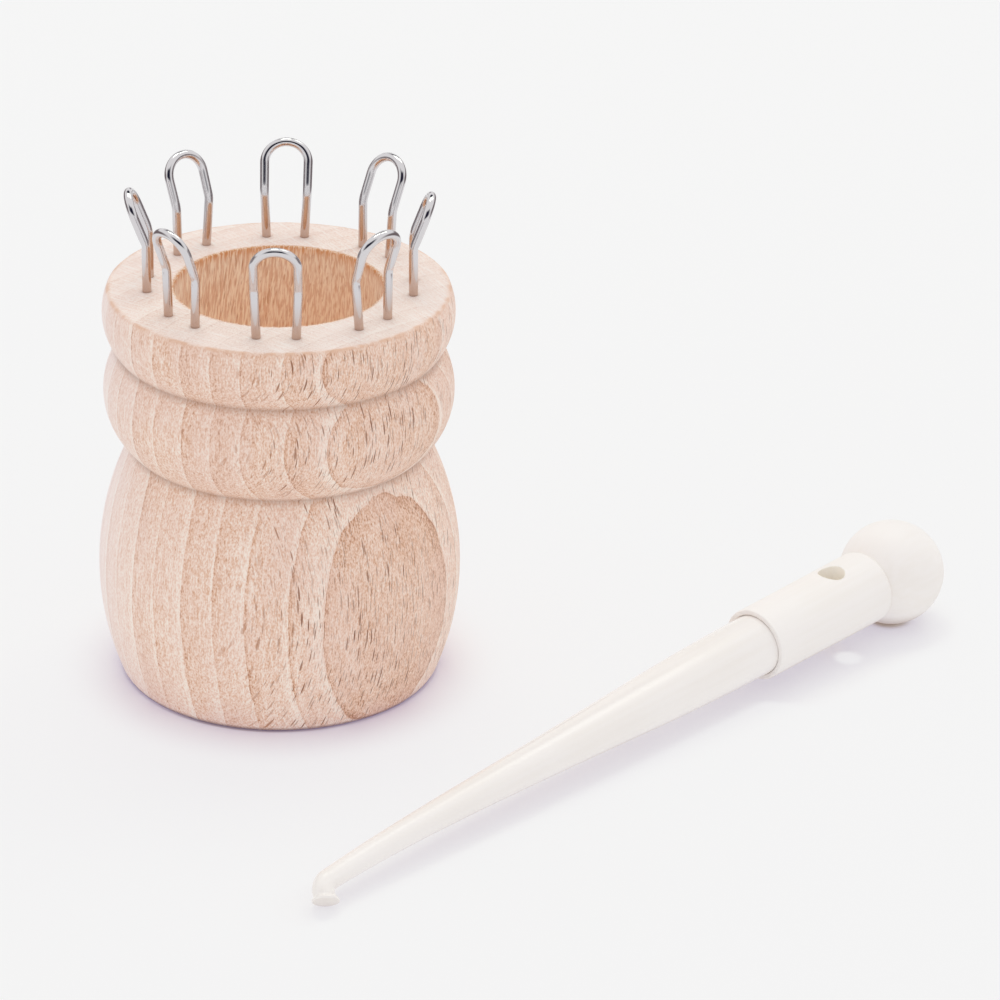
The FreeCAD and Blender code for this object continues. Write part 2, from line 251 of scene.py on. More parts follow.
@dataclass
class Route:
    """A line in space that a profile is carried along, with a direction kept to its side.

    Attributes:
        points: Places of the line (n, 3), close together.
        side: Direction that the route never points along.
    """

    points: Array
    side: Array

    def frames(self, places: Array) -> tuple[Array, Array, Array]:
        """Centres and cross directions at some running lengths, also past either end.

        Args:
            places: Running lengths along the route.

        Returns:
            Centres, and two unit vectors across the route: one square to the side direction,
            side x along, and one near it, along x (side x along).
        """
        length = path_length(self.points)
        tangents = np.gradient(self.points, length, axis=0)
        inside = np.clip(places, 0, length[-1])
        centres = resampled(self.points, inside)
        along = np.stack([np.interp(inside, length, part) for part in tangents.T], axis=1)
        along /= np.linalg.norm(along, axis=1, keepdims=True)
        centres = centres + along * (places - inside)[:, None]
        across = np.cross(self.side, along)
        across /= np.linalg.norm(across, axis=1, keepdims=True)
        return centres, across, np.cross(along, across)


# ---------------------------------------------------------------- meshes

def grid_quads(rows: int, columns: int, closed_rows: bool) -> Array:
    """Four-sided faces of a grid whose columns go once round.

    Args:
        rows: Number of rows.
        columns: Number of columns.
        closed_rows: Whether the last row joins the first.

    Returns:
        Vertex numbers (faces, 4): a corner, the next column, both a row on, and back.
    """
    row = np.arange(rows if closed_rows else rows - 1)[:, None]
    column = np.arange(columns)[None, :]
    next_row, next_column = (row + 1) % rows, (column + 1) % columns
    corners = [row * columns + column, row * columns + next_column,
               next_row * columns + next_column, next_row * columns + column]
    return np.stack([np.broadcast_to(corner, (row.size, columns)) for corner in corners],
                    axis=-1).reshape(-1, 4)


def pole_fans(rows: int, columns: int) -> Array:
    """Triangles that close the first and the last row of a grid to the two vertices after it.

    Args:
        rows: Number of rows.
        columns: Number of columns.

    Returns:
        Vertex numbers (faces, 3): a pole and two neighbours of the row next to it.
    """
    column = np.arange(columns)
    following = (column + 1) % columns
    last = (rows - 1) * columns
    first_pole = np.full(columns, rows * columns)
    start = np.stack([first_pole, following, column], axis=1)
    end = np.stack([first_pole + 1, last + column, last + following], axis=1)
    return np.concatenate([start, end])


def rod(centres: Array, radius: Array, first: Array, second: Array,
        poles: Array) -> tuple[Array, list[Array]]:
    """Closed skin of rings about a line, with a pole at either end.

    Args:
        centres: Middle of each ring (rows, 3).
        radius: Radius of each ring at each column (rows, columns).
        first: Directions in which the rings start (rows, 3).
        second: Directions a quarter turn on.
        poles: The two poles (2, 3).

    Returns:
        Vertices, the poles last, and the faces.  A vertex is at its ring's middle, plus the
        radius times (cosine of the turn times first, plus sine of the turn times second).
    """
    rows, columns = radius.shape
    angle = turns_of(columns)[None, :, None]
    ring = np.cos(angle) * first[:, None] + np.sin(angle) * second[:, None]
    points = centres[:, None] + radius[..., None] * ring
    faces = [grid_quads(rows, columns, closed_rows=False), pole_fans(rows, columns)]
    return np.concatenate([points.reshape(-1, 3), poles]), faces


def write_mesh(name: str, points: Array, faces: list[Array]) -> bpy.types.Object:
    """Make a smooth-shaded mesh object at the origin.

    Args:
        name: Name of the object.
        points: Vertices (n, 3), millimetres.
        faces: Arrays of vertex numbers, each with as many columns as its faces have corners.

    Returns:
        The object, linked to the scene.
    """
    mesh = bpy.data.meshes.new(name)
    mesh.vertices.add(len(points))
    mesh.vertices.foreach_set("co", (points * MM).ravel())
    corners = np.concatenate([part.ravel() for part in faces])
    sizes = np.concatenate([np.full(len(part), part.shape[1]) for part in faces])
    mesh.loops.add(len(corners))
    mesh.loops.foreach_set("vertex_index", corners)
    mesh.polygons.add(len(sizes))
    mesh.polygons.foreach_set("loop_start", np.cumsum(sizes) - sizes)
    mesh.update(calc_edges=True)
    mesh.validate()
    mesh.shade_smooth()
    return into_scene(name, mesh)


def into_scene(name: str, content: bpy.types.ID) -> bpy.types.Object:
    """Make an object of a mesh, a lamp or a camera.

    Args:
        name: Name of the object.
        content: What it holds.

    Returns:
        The object, linked to the scene.
    """
    thing = bpy.data.objects.new(name, content)
    bpy.context.scene.collection.objects.link(thing)
    return thing


def paint(piece: bpy.types.Object, **masks: Array) -> None:
    """Store named values on a piece's vertices.

    Args:
        piece: The object.
        **masks: For each name an array with one number or one vector for each vertex.
    """
    for name, values in masks.items():
        is_vector = values.shape[-1] == 3 and values.size == 3 * len(piece.data.vertices)
        kind, key = ("FLOAT_VECTOR", "vector") if is_vector else ("FLOAT", "value")
        attribute = piece.data.attributes.new(name, kind, "POINT")
        attribute.data.foreach_set(key, np.ascontiguousarray(values, np.float32).ravel())


def paint_underside(piece: bpy.types.Object) -> None:
    """Store how far each vertex of a piece faces down, 0 to 1.

    Args:
        piece: The object.
    """
    normals = np.zeros(3 * len(piece.data.vertices), np.float32)
    piece.data.vertex_normals.foreach_get("vector", normals)
    paint(piece, underside=smooth_step(-normals[2::3], SIDEWAYS, FACING_DOWN))


def seat(piece: bpy.types.Object, body: Body, node: str,
         material: bpy.types.Material) -> None:
    """Dress a piece and tell the frame what it stands for.

    Args:
        piece: The finished object.
        body: Body that it rides on.
        node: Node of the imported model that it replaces.
        material: Its material.
    """
    piece.data.materials.clear()
    piece.data.materials.append(material)
    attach(piece, body.value)
    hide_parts(node)
    log.info("%s: %d faces, stands for %s", piece.name, len(piece.data.polygons), node)


# ---------------------------------------------------------------- shader building

@dataclass(frozen=True)
class Noise:
    """A cloudy field of numbers from 0 to 1, about a half.

    Attributes:
        density: Features per millimetre along each coordinate.
        detail: Octaves added to the first.
        roughness: Share that each octave has of the one before.
        offset: Shift that makes one field differ from another.
    """

    density: Triple
    detail: float = 2.0
    roughness: float = 0.5
    offset: Triple = (0.0, 0.0, 0.0)


@dataclass(frozen=True)
class Fade:
    """A smooth change from one level to another.

    Attributes:
        begin: Where the change begins.
        end: Where it ends.
        first: Level before it.
        last: Level after it.
    """

    begin: float
    end: float
    first: float = 0.0
    last: float = 1.0


class Shader:
    """A node-based material or world under construction, with a short call for each node."""

    def __init__(self, tree: bpy.types.NodeTree) -> None:
        """Empty the tree that the nodes go into."""
        self.tree = tree
        self.tree.nodes.clear()

    def add(self, kind: str, inputs: dict[str | int, Value | tuple] | None = None,
            **settings: object) -> bpy.types.Node:
        """Add a node.

        Args:
            kind: Node type, without its leading "ShaderNode".
            inputs: Sockets to link or values to set, by socket name or number.
            **settings: Properties of the node.

        Returns:
            The node.
        """
        node = self.tree.nodes.new(f"ShaderNode{kind}")
        for key, value in settings.items():
            setattr(node, key, value)
        for key, value in (inputs or {}).items():
            if isinstance(value, bpy.types.NodeSocket):
                self.tree.links.new(value, node.inputs[key])
            else:
                node.inputs[key].default_value = value
        return node

    def math(self, operation: str, *values: Value) -> Socket:
        """Result of one sum on numbers."""
        return self.add("Math", dict(enumerate(values)), operation=operation).outputs[0]

    def times(self, first: Value, second: Value) -> Socket:
        """Product of two numbers."""
        return self.math("MULTIPLY", first, second)

    def plus(self, base: Value, amount: Value, weight: Value) -> Socket:
        """A number with a weighted amount added."""
        return self.math("MULTIPLY_ADD", amount, weight, base)

    def swayed(self, base: Value, field_value: Socket, weight: Value) -> Socket:
        """A number with a field added whose half changes nothing."""
        return self.plus(base, self.math("SUBTRACT", field_value, 0.5), weight)

    def vector(self, operation: str, *values: Socket | tuple) -> Socket:
        """Result of one sum on vectors; a length or a dot product comes as a number."""
        node = self.add("VectorMath", dict(enumerate(values)), operation=operation)
        return node.outputs[1 if operation in ("LENGTH", "DOT_PRODUCT") else 0]

    def scaled(self, vector: Socket, factor: Value) -> Socket:
        """A vector times a number."""
        return self.add("VectorMath", {0: vector, "Scale": factor}, operation="SCALE").outputs[0]

    def parts(self, vector: Socket) -> list[Socket]:
        """The three numbers of a vector."""
        return list(self.add("SeparateXYZ", {0: vector}).outputs)

    def step(self, value: Value, fade: Fade) -> Socket:
        """Level of a fade at a value."""
        inputs = dict(enumerate((value, fade.begin, fade.end, fade.first, fade.last)))
        return self.add("MapRange", inputs, interpolation_type="SMOOTHSTEP").outputs[0]

    def mix(self, share: Value, first: Socket | Colour, second: Socket | Colour) -> Socket:
        """First colour with a share of the second over it."""
        inputs = {0: share, 6: self._colour(first), 7: self._colour(second)}
        return self.add("Mix", inputs, data_type="RGBA", clamp_factor=True).outputs[2]

    def glaze(self, colour: Socket, mask: Socket, strength: Value,
              over: Socket | Colour) -> Socket:
        """A colour with another laid over it, by a mask times a strength."""
        return self.mix(self.times(mask, strength), colour, over)

    def noise(self, place: Socket, noise: Noise) -> Socket:
        """Value of a cloudy field at a place given in millimetres."""
        moved = self.vector("MULTIPLY_ADD", place, noise.density, noise.offset)
        return self.add("TexNoise", {"Vector": moved, "Scale": 1.0, "Detail": noise.detail,
                                     "Roughness": noise.roughness}).outputs[0]

    def mask(self, name: str) -> Socket:
        """A number stored on the vertices."""
        return self.add("Attribute", attribute_name=name).outputs["Fac"]

    def place(self) -> Socket:
        """Object coordinates, metres."""
        return self.add("TexCoord").outputs["Object"]

    def bump(self, height: Socket, strength: float, depth: float) -> Socket:
        """Normal of a skin that rises with a height, its depth in millimetres."""
        inputs = {"Height": height, "Strength": strength, "Distance": depth * MM}
        return self.add("Bump", inputs).outputs[0]

    def skin(self, inputs: dict[str, Value | Colour]) -> None:
        """Close the tree with a physically based surface."""
        self.close(self.add("BsdfPrincipled", inputs))

    def close(self, surface: bpy.types.Node, kind: str = "OutputMaterial") -> None:
        """Close the tree with a surface."""
        self.add(kind, {0: surface.outputs[0]})

    @staticmethod
    def _colour(value: Socket | Colour) -> Socket | tuple:
        """Give a plain colour its fourth part."""
        return value if isinstance(value, bpy.types.NodeSocket) else (*value, 1.0)


def new_material(name: str) -> tuple[bpy.types.Material, Shader]:
    """Start a material.

    Args:
        name: Its name.

    Returns:
        The material, and the shader that fills it.
    """
    material = bpy.data.materials.new(name)
    material.use_nodes = True
    return material, Shader(material.node_tree)


# ---------------------------------------------------------------- finishes

@dataclass(frozen=True)
class GrowthRings:
    """Growth rings of the tree that the blank was sawn from.

    Attributes:
        heading: Direction of the pith from the spool's axis, degrees from +X.
        distance: Pith to the spool's axis.
        lean: How far the rings lean outward for each millimetre of height.
        spiral: How far the fibres lean round the rings for each millimetre of height.
        radii: Where each year ends, from the pith.
        tones: How dark each year's wood is, from the innermost outward, 0 to 1.
        sway: Slow waviness of the rings, and how far it goes.
        jitter: Fine raggedness of the rings, and how far it goes.
    """

    heading: float = -49.0
    distance: float = 99.5
    lean: float = 0.02
    spiral: float = 0.11
    radii: tuple[float, ...] = (62.0, 71.2, 75.8, 82.2, 87.9, 93.8, 99.8, 105.2, 110.5,
                                115.1, 120.3, 124.9, 130.2, 134.6)
    tones: tuple[float, ...] = (0.58, 0.43, 0.42, 0.44, 0.46, 0.42, 0.50, 0.40, 0.46,
                                0.40, 0.46, 0.38, 0.42, 0.42)
    sway: tuple[Noise, float] = (
        Noise((0.07, 0.07, 0.022), detail=1.5, offset=(5.0, 0.0, 0.0)), 2.4)
    jitter: tuple[Noise, float] = (Noise((0.5, 0.5, 0.12), offset=(0.0, 9.0, 0.0)), 0.5)

    def place(self, shader: Shader) -> Socket:
        """Coordinates that follow the tree.

        Args:
            shader: Shader to add nodes to.

        Returns:
            Distance from the pith less the lean, length round the ring and height: the object
            coordinates are turned so that the pith is ahead, and made polar about it.
        """
        turned = shader.add("Mapping", {
            "Vector": shader.place(),
            "Location": (-self.distance, 0.0, 0.0),
            "Rotation": (0.0, 0.0, math.radians(-self.heading)),
            "Scale": (1 / MM, 1 / MM, 1 / MM),
        }).outputs[0]
        ahead, aside, level = shader.parts(turned)
        flat = shader.vector("LENGTH", shader.vector("MULTIPLY", turned, (1.0, 1.0, 0.0)))
        outward = shader.plus(flat, level, -self.lean)
        angle = shader.math("ARCTAN2", aside, shader.times(ahead, -1.0))
        around = shader.plus(shader.times(angle, self.distance), level, -self.spiral)
        return shader.add("CombineXYZ", {0: outward, 1: around, 2: level}).outputs[0]

    def years(self, shader: Shader, grain: Socket) -> Socket:
        """Count of years outward, whole at each year's end.

        Args:
            shader: Shader to add nodes to.
            grain: Coordinates that follow the tree.

        Returns:
            The distance from the pith, wavered, through a curve that goes up by one from each
            radius to the next.
        """
        radii = np.array(self.radii)
        places = (radii - radii[0]) / (radii[-1] - radii[0])
        shares = np.linspace(0, 1, len(radii))
        outward = shader.parts(grain)[0]
        for noise, reach in (self.sway, self.jitter):
            outward = shader.swayed(outward, shader.noise(grain, noise), reach)
        share = shader.add("MapRange", {0: outward, 1: radii[0], 2: radii[-1]}).outputs[0]
        curve = shader.add("FloatCurve", {"Value": share})
        line = curve.mapping.curves[0]
        for place, height in zip(places[1:-1], shares[1:-1]):
            line.points.new(place, height)
        for point in line.points:
            point.handle_type = "VECTOR"
        curve.mapping.update()
        return shader.times(curve.outputs[0], len(radii) - 1.0)

    def tone(self, shader: Shader, count: Socket) -> Socket:
        """How dark the year's wood is.

        Args:
            shader: Shader to add nodes to.
            count: Count of years.

        Returns:
            The tone of the year that the count is in, from a stepped ramp.
        """
        ramp = shader.add("ValToRGB", {0: shader.math("DIVIDE", count, float(len(self.radii)))})
        ramp.color_ramp.interpolation = "CONSTANT"
        steps = ramp.color_ramp.elements
        steps.remove(steps[1])
        steps[0].color = (self.tones[0],) * 3 + (1.0,)
        for number, tone in enumerate(self.tones[1:], start=1):
            steps.new(number / len(self.radii)).color = (tone,) * 3 + (1.0,)
        return ramp.outputs[0]


@dataclass(frozen=True)
class RayLayer:
    """One size of the wood rays: thin upright blades that run out from the pith.

    Attributes:
        spacing: Distance between blades outward, round the ring and up the trunk.
        half_size: Half a blade's length, thickness and height.
        strength: How much of the dark colour a blade takes where it is cut square.
        shift: Offset of the layer's random field.
        smallest: Size of the smallest blades, as a share.
        faintest: Strength of the faintest blades, as a share.
        scatter: How unevenly the blades stand, 0 to 1.
        edge: How a blade's edge fades in, by its room.
    """

    spacing: Triple
    half_size: Triple
    strength: float
    shift: float
    smallest: float = 0.15
    faintest: float = 0.45
    scatter: float = 0.9
    edge: Fade = Fade(0.0, 0.28)

    def mask(self, shader: Shader, grain: Socket) -> Socket:
        """Where the layer's blades are.

        Args:
            shader: Shader to add nodes to.
            grain: Coordinates that follow the tree.

        Returns:
            The blade's strength inside and 0 outside.  A blade is where its random size, less
            the squares of the outward and upward distances from its centre and less the
            sideways distance, all in half sizes, is above nought.
        """
        density = tuple(1 / step for step in self.spacing)
        scaled = shader.vector("MULTIPLY_ADD", grain, density, (self.shift,) * 3)
        cell = shader.add("TexVoronoi",
                          {"Vector": scaled, "Scale": 1.0, "Randomness": self.scatter})
        apart = shader.vector("SUBTRACT", scaled, cell.outputs["Position"])
        in_halves = tuple(step / half for step, half in zip(self.spacing, self.half_size))
        outward, aside, upward = shader.parts(shader.vector("MULTIPLY", apart, in_halves))
        draw = shader.add("SeparateColor", {0: cell.outputs["Color"]}).outputs
        room = shader.step(draw[0], Fade(0.0, 1.0, self.smallest, 1.0))
        room = shader.math("SUBTRACT", room, shader.math("POWER", outward, 2.0))
        room = shader.math("SUBTRACT", room, shader.math("POWER", upward, 2.0))
        room = shader.math("SUBTRACT", room, shader.math("ABSOLUTE", aside))
        faintest = self.faintest * self.strength
        depth = shader.step(draw[1], Fade(0.0, 1.0, faintest, self.strength))
        return shader.times(shader.step(room, self.edge), depth)


@dataclass
class Timber:
    """What the wood's shader knows of a place, each as a socket.

    Attributes:
        grain: Coordinates that follow the tree.
        outward: Distance from the pith.
        around: Length round the ring, from the line between the pith and the spool's axis.
        level: Height.
        outer: 1 in the sapwood.
        fibre: Fine upright fibres.
        speckle: Fine dots.
        broken: Patches that break up stripes and edges.
        threads: Coarse upright threads of the drilled bore.
        end_grain: 1 on the flat top.
        side_grain: 1 elsewhere.
        bore: 1 in the bore.
    """

    grain: Socket
    outward: Socket
    around: Socket
    level: Socket
    outer: Socket
    fibre: Socket
    speckle: Socket
    broken: Socket
    threads: Socket
    end_grain: Socket
    side_grain: Socket
    bore: Socket


@dataclass(frozen=True)
class Beech:
    """Sanded, unvarnished beech, as a solid grain that every face cuts through."""

    rings: GrowthRings = GrowthRings()
    layers: tuple[RayLayer, ...] = (
        RayLayer((6.4, 1.25, 3.2), (3.4, 0.22, 1.8), 0.95, 3.1),
        RayLayer((4.8, 0.9, 2.4), (2.5, 0.17, 1.2), 0.8, 17.7),
        RayLayer((3.2, 0.6, 1.7), (1.5, 0.12, 0.7), 0.45, 41.3),
    )

    # The tone runs through these four colours, at these places of it.
    pale: Colour = linear(254, 240, 226)
    mid: Colour = linear(245, 216, 198)
    orange: Colour = linear(228, 184, 154)
    brown: Colour = linear(190, 138, 108)
    tone_stops: tuple[float, float, float, float] = (0.05, 0.42, 0.78, 1.0)

    # Late wood is a dark broken stripe at each year's end, early wood a pale line after it.
    broken: Noise = Noise((0.35, 0.35, 0.3), offset=(0.0, 21.0, 0.0))
    late_width: Fade = Fade(0.0, 0.10, 1.0, 0.0)
    late_breaks: Fade = Fade(0.38, 0.6, 0.35, 1.0)
    late_tone: float = 0.20
    early_width: Fade = Fade(0.80, 0.97)
    early_tone: float = -0.14
    year_slope: float = 0.16

    # Within a year the tone moves with clouds, upright bands, fibres and specks.
    cloud: Noise = Noise((0.12, 0.12, 0.03), offset=(0.0, 0.0, 50.0))
    cloud_tone: float = 0.35
    bands: Noise = Noise((1.1, 0.06, 0.025), offset=(0.0, 80.0, 0.0))
    bands_tone: float = 0.42
    fibre: Noise = Noise((3.2, 3.2, 0.42), roughness=0.6)
    fibre_tone: float = 1.2
    speckle: Noise = Noise((3.7, 3.7, 2.1), detail=1.5, offset=(31.0, 0.0, 0.0))
    speckle_edge: Fade = Fade(0.36, 0.64)
    speckle_tone: float = 0.38

    # On the beads the innermost year is paler, and the wood next to it warmer.
    bead_level: Fade = Fade(42.0, 48.0)
    heart: Fade = Fade(71.0, 72.5, 1.0, 0.0)
    heart_tone: float = -0.20
    warmth: Fade = Fade(88.0, 102.0, 0.09, 0.0)

    # The sapwood is whiter and calmer; the blush comes in soft patches.
    sapwood: Colour = linear(252, 245, 246)
    sapwood_reach: Fade = Fade(98.0, 130.0)
    sapwood_back: Fade = Fade(122.5, 130.0, 1.0, 0.5)
    sapwood_on_top: float = 0.25
    sapwood_on_side: float = 0.42
    sapwood_calm: float = -0.5
    pink: Colour = linear(240, 211, 200)
    blush: Noise = Noise((0.09, 0.09, 0.05), detail=1.0, offset=(0.0, 33.0, 12.0))
    blush_edge: Fade = Fade(0.42, 0.68, 0.0, 0.22)

    # The flat top is pale end grain, made paler still by painted light from above, with the marks
    # of the saw.
    end_pale_and_top_light: Colour = linear(249, 239, 233)
    end_pallor_and_top_light: Fade = Fade(80.0, 125.0, 0.55, 0.25)
    saw_pale: Colour = linear(255, 250, 244)
    saw_marks: Noise = Noise((0.16, 2.6, 0.5), detail=3.0, offset=(60.0, 0.0, 0.0))
    saw_edge: Fade = Fade(0.45, 0.7, 0.0, 0.5)

    # The bore is torn into threads, and deeper in colour towards one side.
    bore_pale: Colour = linear(255, 240, 216)
    bore_deep: Colour = linear(224, 184, 152)
    threads: Noise = Noise((3.4, 3.4, 0.3), offset=(0.0, 44.0, 0.0))
    thread_edge: Fade = Fade(0.36, 0.64)
    bore_side: Fade = Fade(-18.0, 14.0, 0.0, 0.35)
    bore_cover: float = 0.92

    # Rays show as flecks where the face cuts them square, gathered in upright strings.
    ray_dark: Colour = linear(134, 82, 54)
    ray_warm: Colour = linear(190, 126, 84)
    ray_darkening: Fade = Fade(0.5, 0.95)
    cut_square: Fade = Fade(0.35, 0.78)
    strings: Noise = Noise((0.05, 0.5, 0.03), detail=1.0, offset=(0.0, 0.0, 90.0))
    string_edge: Fade = Fade(0.40, 0.52, 0.45, 1.0)
    ray_in_sapwood: float = -0.45
    ray_in_bore: float = -0.4
    bore_strokes: Fade = Fade(0.58, 0.70, 0.0, 0.5)

    # Painted shade darkens the grooves, the wood round the legs and the foot; the rim is torn and
    # the mouth singed.
    painted_shade: Colour = linear(160, 118, 96)
    groove_painted_shade: float = 0.5
    leg_painted_shade: float = 0.15
    rim_torn: Fade = Fade(0.4, 0.6, 0.3, 0.9)
    singed: Colour = linear(214, 150, 98)
    mouth_notches: Fade = Fade(0.42, 0.56, 0.35, 1.0)
    # Painted shade: a brown band at the foot, where the lower edge turns under towards the table.
    foot_painted_shade: Colour = linear(118, 84, 66)
    foot_shade_cover: float = 0.6

    # Relief and gloss.
    fibre_relief: float = 0.8
    speckle_relief: float = -0.25
    ray_relief: float = -1.0
    bump_strength: float = 0.6
    bump_depth: float = 0.06
    roughness: Fade = Fade(0.2, 0.8, 0.52, 0.7)
    specular: float = 0.35
    sheen: float = 0.22
    sheen_roughness: float = 0.4

    def timber(self, shader: Shader) -> Timber:
        """Work out what the colours need to know of a place.

        Args:
            shader: Shader to add nodes to.

        Returns:
            The wood at the place.
        """
        grain = self.rings.place(shader)
        outward, around, level = shader.parts(grain)
        end_grain = shader.mask("end_grain")
        return Timber(
            grain=grain,
            outward=outward,
            around=around,
            level=level,
            outer=shader.step(outward, self.sapwood_reach),
            fibre=shader.noise(grain, self.fibre),
            speckle=shader.step(shader.noise(grain, self.speckle), self.speckle_edge),
            broken=shader.noise(grain, self.broken),
            threads=shader.noise(grain, self.threads),
            end_grain=end_grain,
            side_grain=shader.math("SUBTRACT", 1.0, end_grain),
            bore=shader.mask("bore"),
        )

    def tone(self, shader: Shader, wood: Timber) -> Socket:
        """How dark the wood is, without its rays.

        Args:
            shader: Shader to add nodes to.
            wood: The wood at the place.

        Returns:
            The year's own tone, plus the late stripe, the early line, the slope across the year,
            the heart, the warmth and the four fields, each times its weight.
        """
        count = self.rings.years(shader, wood.grain)
        inward = shader.math("SUBTRACT", 1.0, shader.math("FRACT", count))
        late = shader.times(shader.step(inward, self.late_width),
                            shader.step(wood.broken, self.late_breaks))
        early = shader.times(shader.step(inward, self.early_width), wood.side_grain)
        on_beads = shader.step(wood.level, self.bead_level)
        heart = shader.times(shader.step(wood.outward, self.heart), on_beads)
        warmth = shader.times(shader.step(wood.outward, self.warmth), on_beads)
        tone = shader.plus(self.rings.tone(shader, count), late, self.late_tone)
        tone = shader.plus(tone, early, self.early_tone)
        tone = shader.plus(tone, heart, self.heart_tone)
        tone = shader.math("ADD", tone, warmth)
        tone = shader.swayed(tone, inward, -self.year_slope)
        tone = shader.swayed(tone, shader.noise(wood.grain, self.cloud), self.cloud_tone)
        tone = shader.swayed(tone, shader.noise(wood.grain, self.bands), self.bands_tone)
        calm = shader.plus(1.0, wood.outer, self.sapwood_calm)
        tone = shader.swayed(tone, wood.fibre, shader.times(calm, self.fibre_tone))
        return shader.swayed(tone, wood.speckle, shader.times(calm, self.speckle_tone))

    def plain_colour(self, shader: Shader, wood: Timber) -> Socket:
        """Colour of the wood by its tone, with the blush and the whiter sapwood.

        Args:
            shader: Shader to add nodes to.
            wood: The wood at the place.

        Returns:
            The colour of side grain.
        """
        ramp = shader.add("ValToRGB", {0: self.tone(shader, wood)})
        stops = ramp.color_ramp.elements
        stops[0].position, stops[1].position = self.tone_stops[0], self.tone_stops[-1]
        stops[0].color, stops[1].color = (*self.pale, 1.0), (*self.brown, 1.0)
        for place, between in zip(self.tone_stops[1:-1], (self.mid, self.orange)):
            stops.new(place).color = (*between, 1.0)
        blush = shader.step(shader.noise(wood.grain, self.blush), self.blush_edge)
        colour = shader.mix(blush, ramp.outputs[0], self.pink)
        whiteness = shader.plus(self.sapwood_on_top, wood.side_grain, self.sapwood_on_side)
        whiteness = shader.times(whiteness, shader.step(wood.outward, self.sapwood_back))
        return shader.glaze(colour, wood.outer, whiteness, self.sapwood)

    def cut_faces(self, shader: Shader, wood: Timber, colour: Socket) -> Socket:
        """Lay the end grain's and the bore's colours over the plain one.

        Args:
            shader: Shader to add nodes to.
            wood: The wood at the place.
            colour: Colour so far.

        Returns:
            The colour with the top paler, partly as end grain and partly by painted light from
            above, and the warm, threaded bore.
        """
        # Painted light from above makes the top paler, over its paler end grain.
        pallor = shader.step(wood.outward, self.end_pallor_and_top_light)
        colour = shader.glaze(colour, wood.end_grain, pallor, self.end_pale_and_top_light)
        saw_marks = shader.step(shader.noise(wood.grain, self.saw_marks), self.saw_edge)
        colour = shader.glaze(colour, wood.end_grain, saw_marks, self.saw_pale)
        torn = shader.step(wood.threads, self.thread_edge)
        inside = shader.mix(torn, self.bore_pale, self.bore_deep)
        inside = shader.mix(shader.step(wood.around, self.bore_side), inside, self.bore_deep)
        return shader.glaze(colour, wood.bore, self.bore_cover, inside)

    def flecks(self, shader: Shader, wood: Timber, across: Socket) -> Socket:
        """Mask of the rays, and of the dark strokes between the bore's threads.

        Args:
            shader: Shader to add nodes to.
            wood: The wood at the place.
            across: How squarely the face cuts the rays, 0 to 1.

        Returns:
            The greatest of the layers, fainter between the strings, where the cut is slanting
            and in the sapwood; or the stroke, if that is greater.
        """
        mask: Value = 0.0
        for layer in self.layers:
            mask = shader.math("MAXIMUM", mask, layer.mask(shader, wood.grain))
        strings = shader.noise(wood.grain, self.strings)
        mask = shader.times(mask, shader.step(strings, self.string_edge))
        mask = shader.times(mask, shader.step(across, self.cut_square))
        mask = shader.times(mask, shader.plus(1.0, wood.outer, self.ray_in_sapwood))
        strokes = shader.times(shader.step(wood.fibre, self.bore_strokes), wood.bore)
        return shader.math("MAXIMUM", mask, strokes)

    def worn_edges(self, shader: Shader, wood: Timber, colour: Socket) -> Socket:
        """Paint shade into the grooves, round the legs and at the foot, and wear onto the edges.

        Args:
            shader: Shader to add nodes to.
            wood: The wood at the place.
            colour: Colour so far.

        Returns:
            The colour with painted shade in the grooves, round the legs and at the foot, an orange
            torn rim and a singed mouth.
        """
        torn = shader.step(wood.broken, self.rim_torn)
        notched = shader.step(wood.threads, self.mouth_notches)
        # groove, leg_shade and foot lay painted shade; rim and mouth lay wear.
        for mask, strength, over in (("groove", self.groove_painted_shade, self.painted_shade),
                                     ("leg_shade", self.leg_painted_shade, self.painted_shade),
                                     ("rim", torn, self.orange),
                                     ("mouth", notched, self.singed),
                                     ("foot", self.foot_shade_cover, self.foot_painted_shade)):
            colour = shader.glaze(colour, shader.mask(mask), strength, over)
        return colour

    def material(self) -> bpy.types.Material:
        """Put the wood together.

        Returns:
            The finished wood.
        """
        material, shader = new_material("sanded_beech")
        wood = self.timber(shader)
        colour = self.plain_colour(shader, wood)
        colour = self.cut_faces(shader, wood, colour)
        across = shader.mask("across_rays")
        flecks = self.flecks(shader, wood, across)
        across = shader.plus(across, wood.bore, self.ray_in_bore)
        fleck_colour = shader.mix(shader.step(across, self.ray_darkening),
                                  self.ray_warm, self.ray_dark)
        colour = self.worn_edges(shader, wood, shader.mix(flecks, colour, fleck_colour))
        relief = shader.times(wood.fibre, self.fibre_relief)
        relief = shader.plus(relief, flecks, self.ray_relief)
        relief = shader.plus(relief, wood.speckle, self.speckle_relief)
        shader.skin({
            "Base Color": colour,
            "Roughness": shader.step(wood.fibre, self.roughness),
            "Specular IOR Level": self.specular,
            "Sheen Weight": self.sheen,
            "Sheen Roughness": self.sheen_roughness,
            "Normal": shader.bump(relief, self.bump_strength, self.bump_depth),
        })
        return material


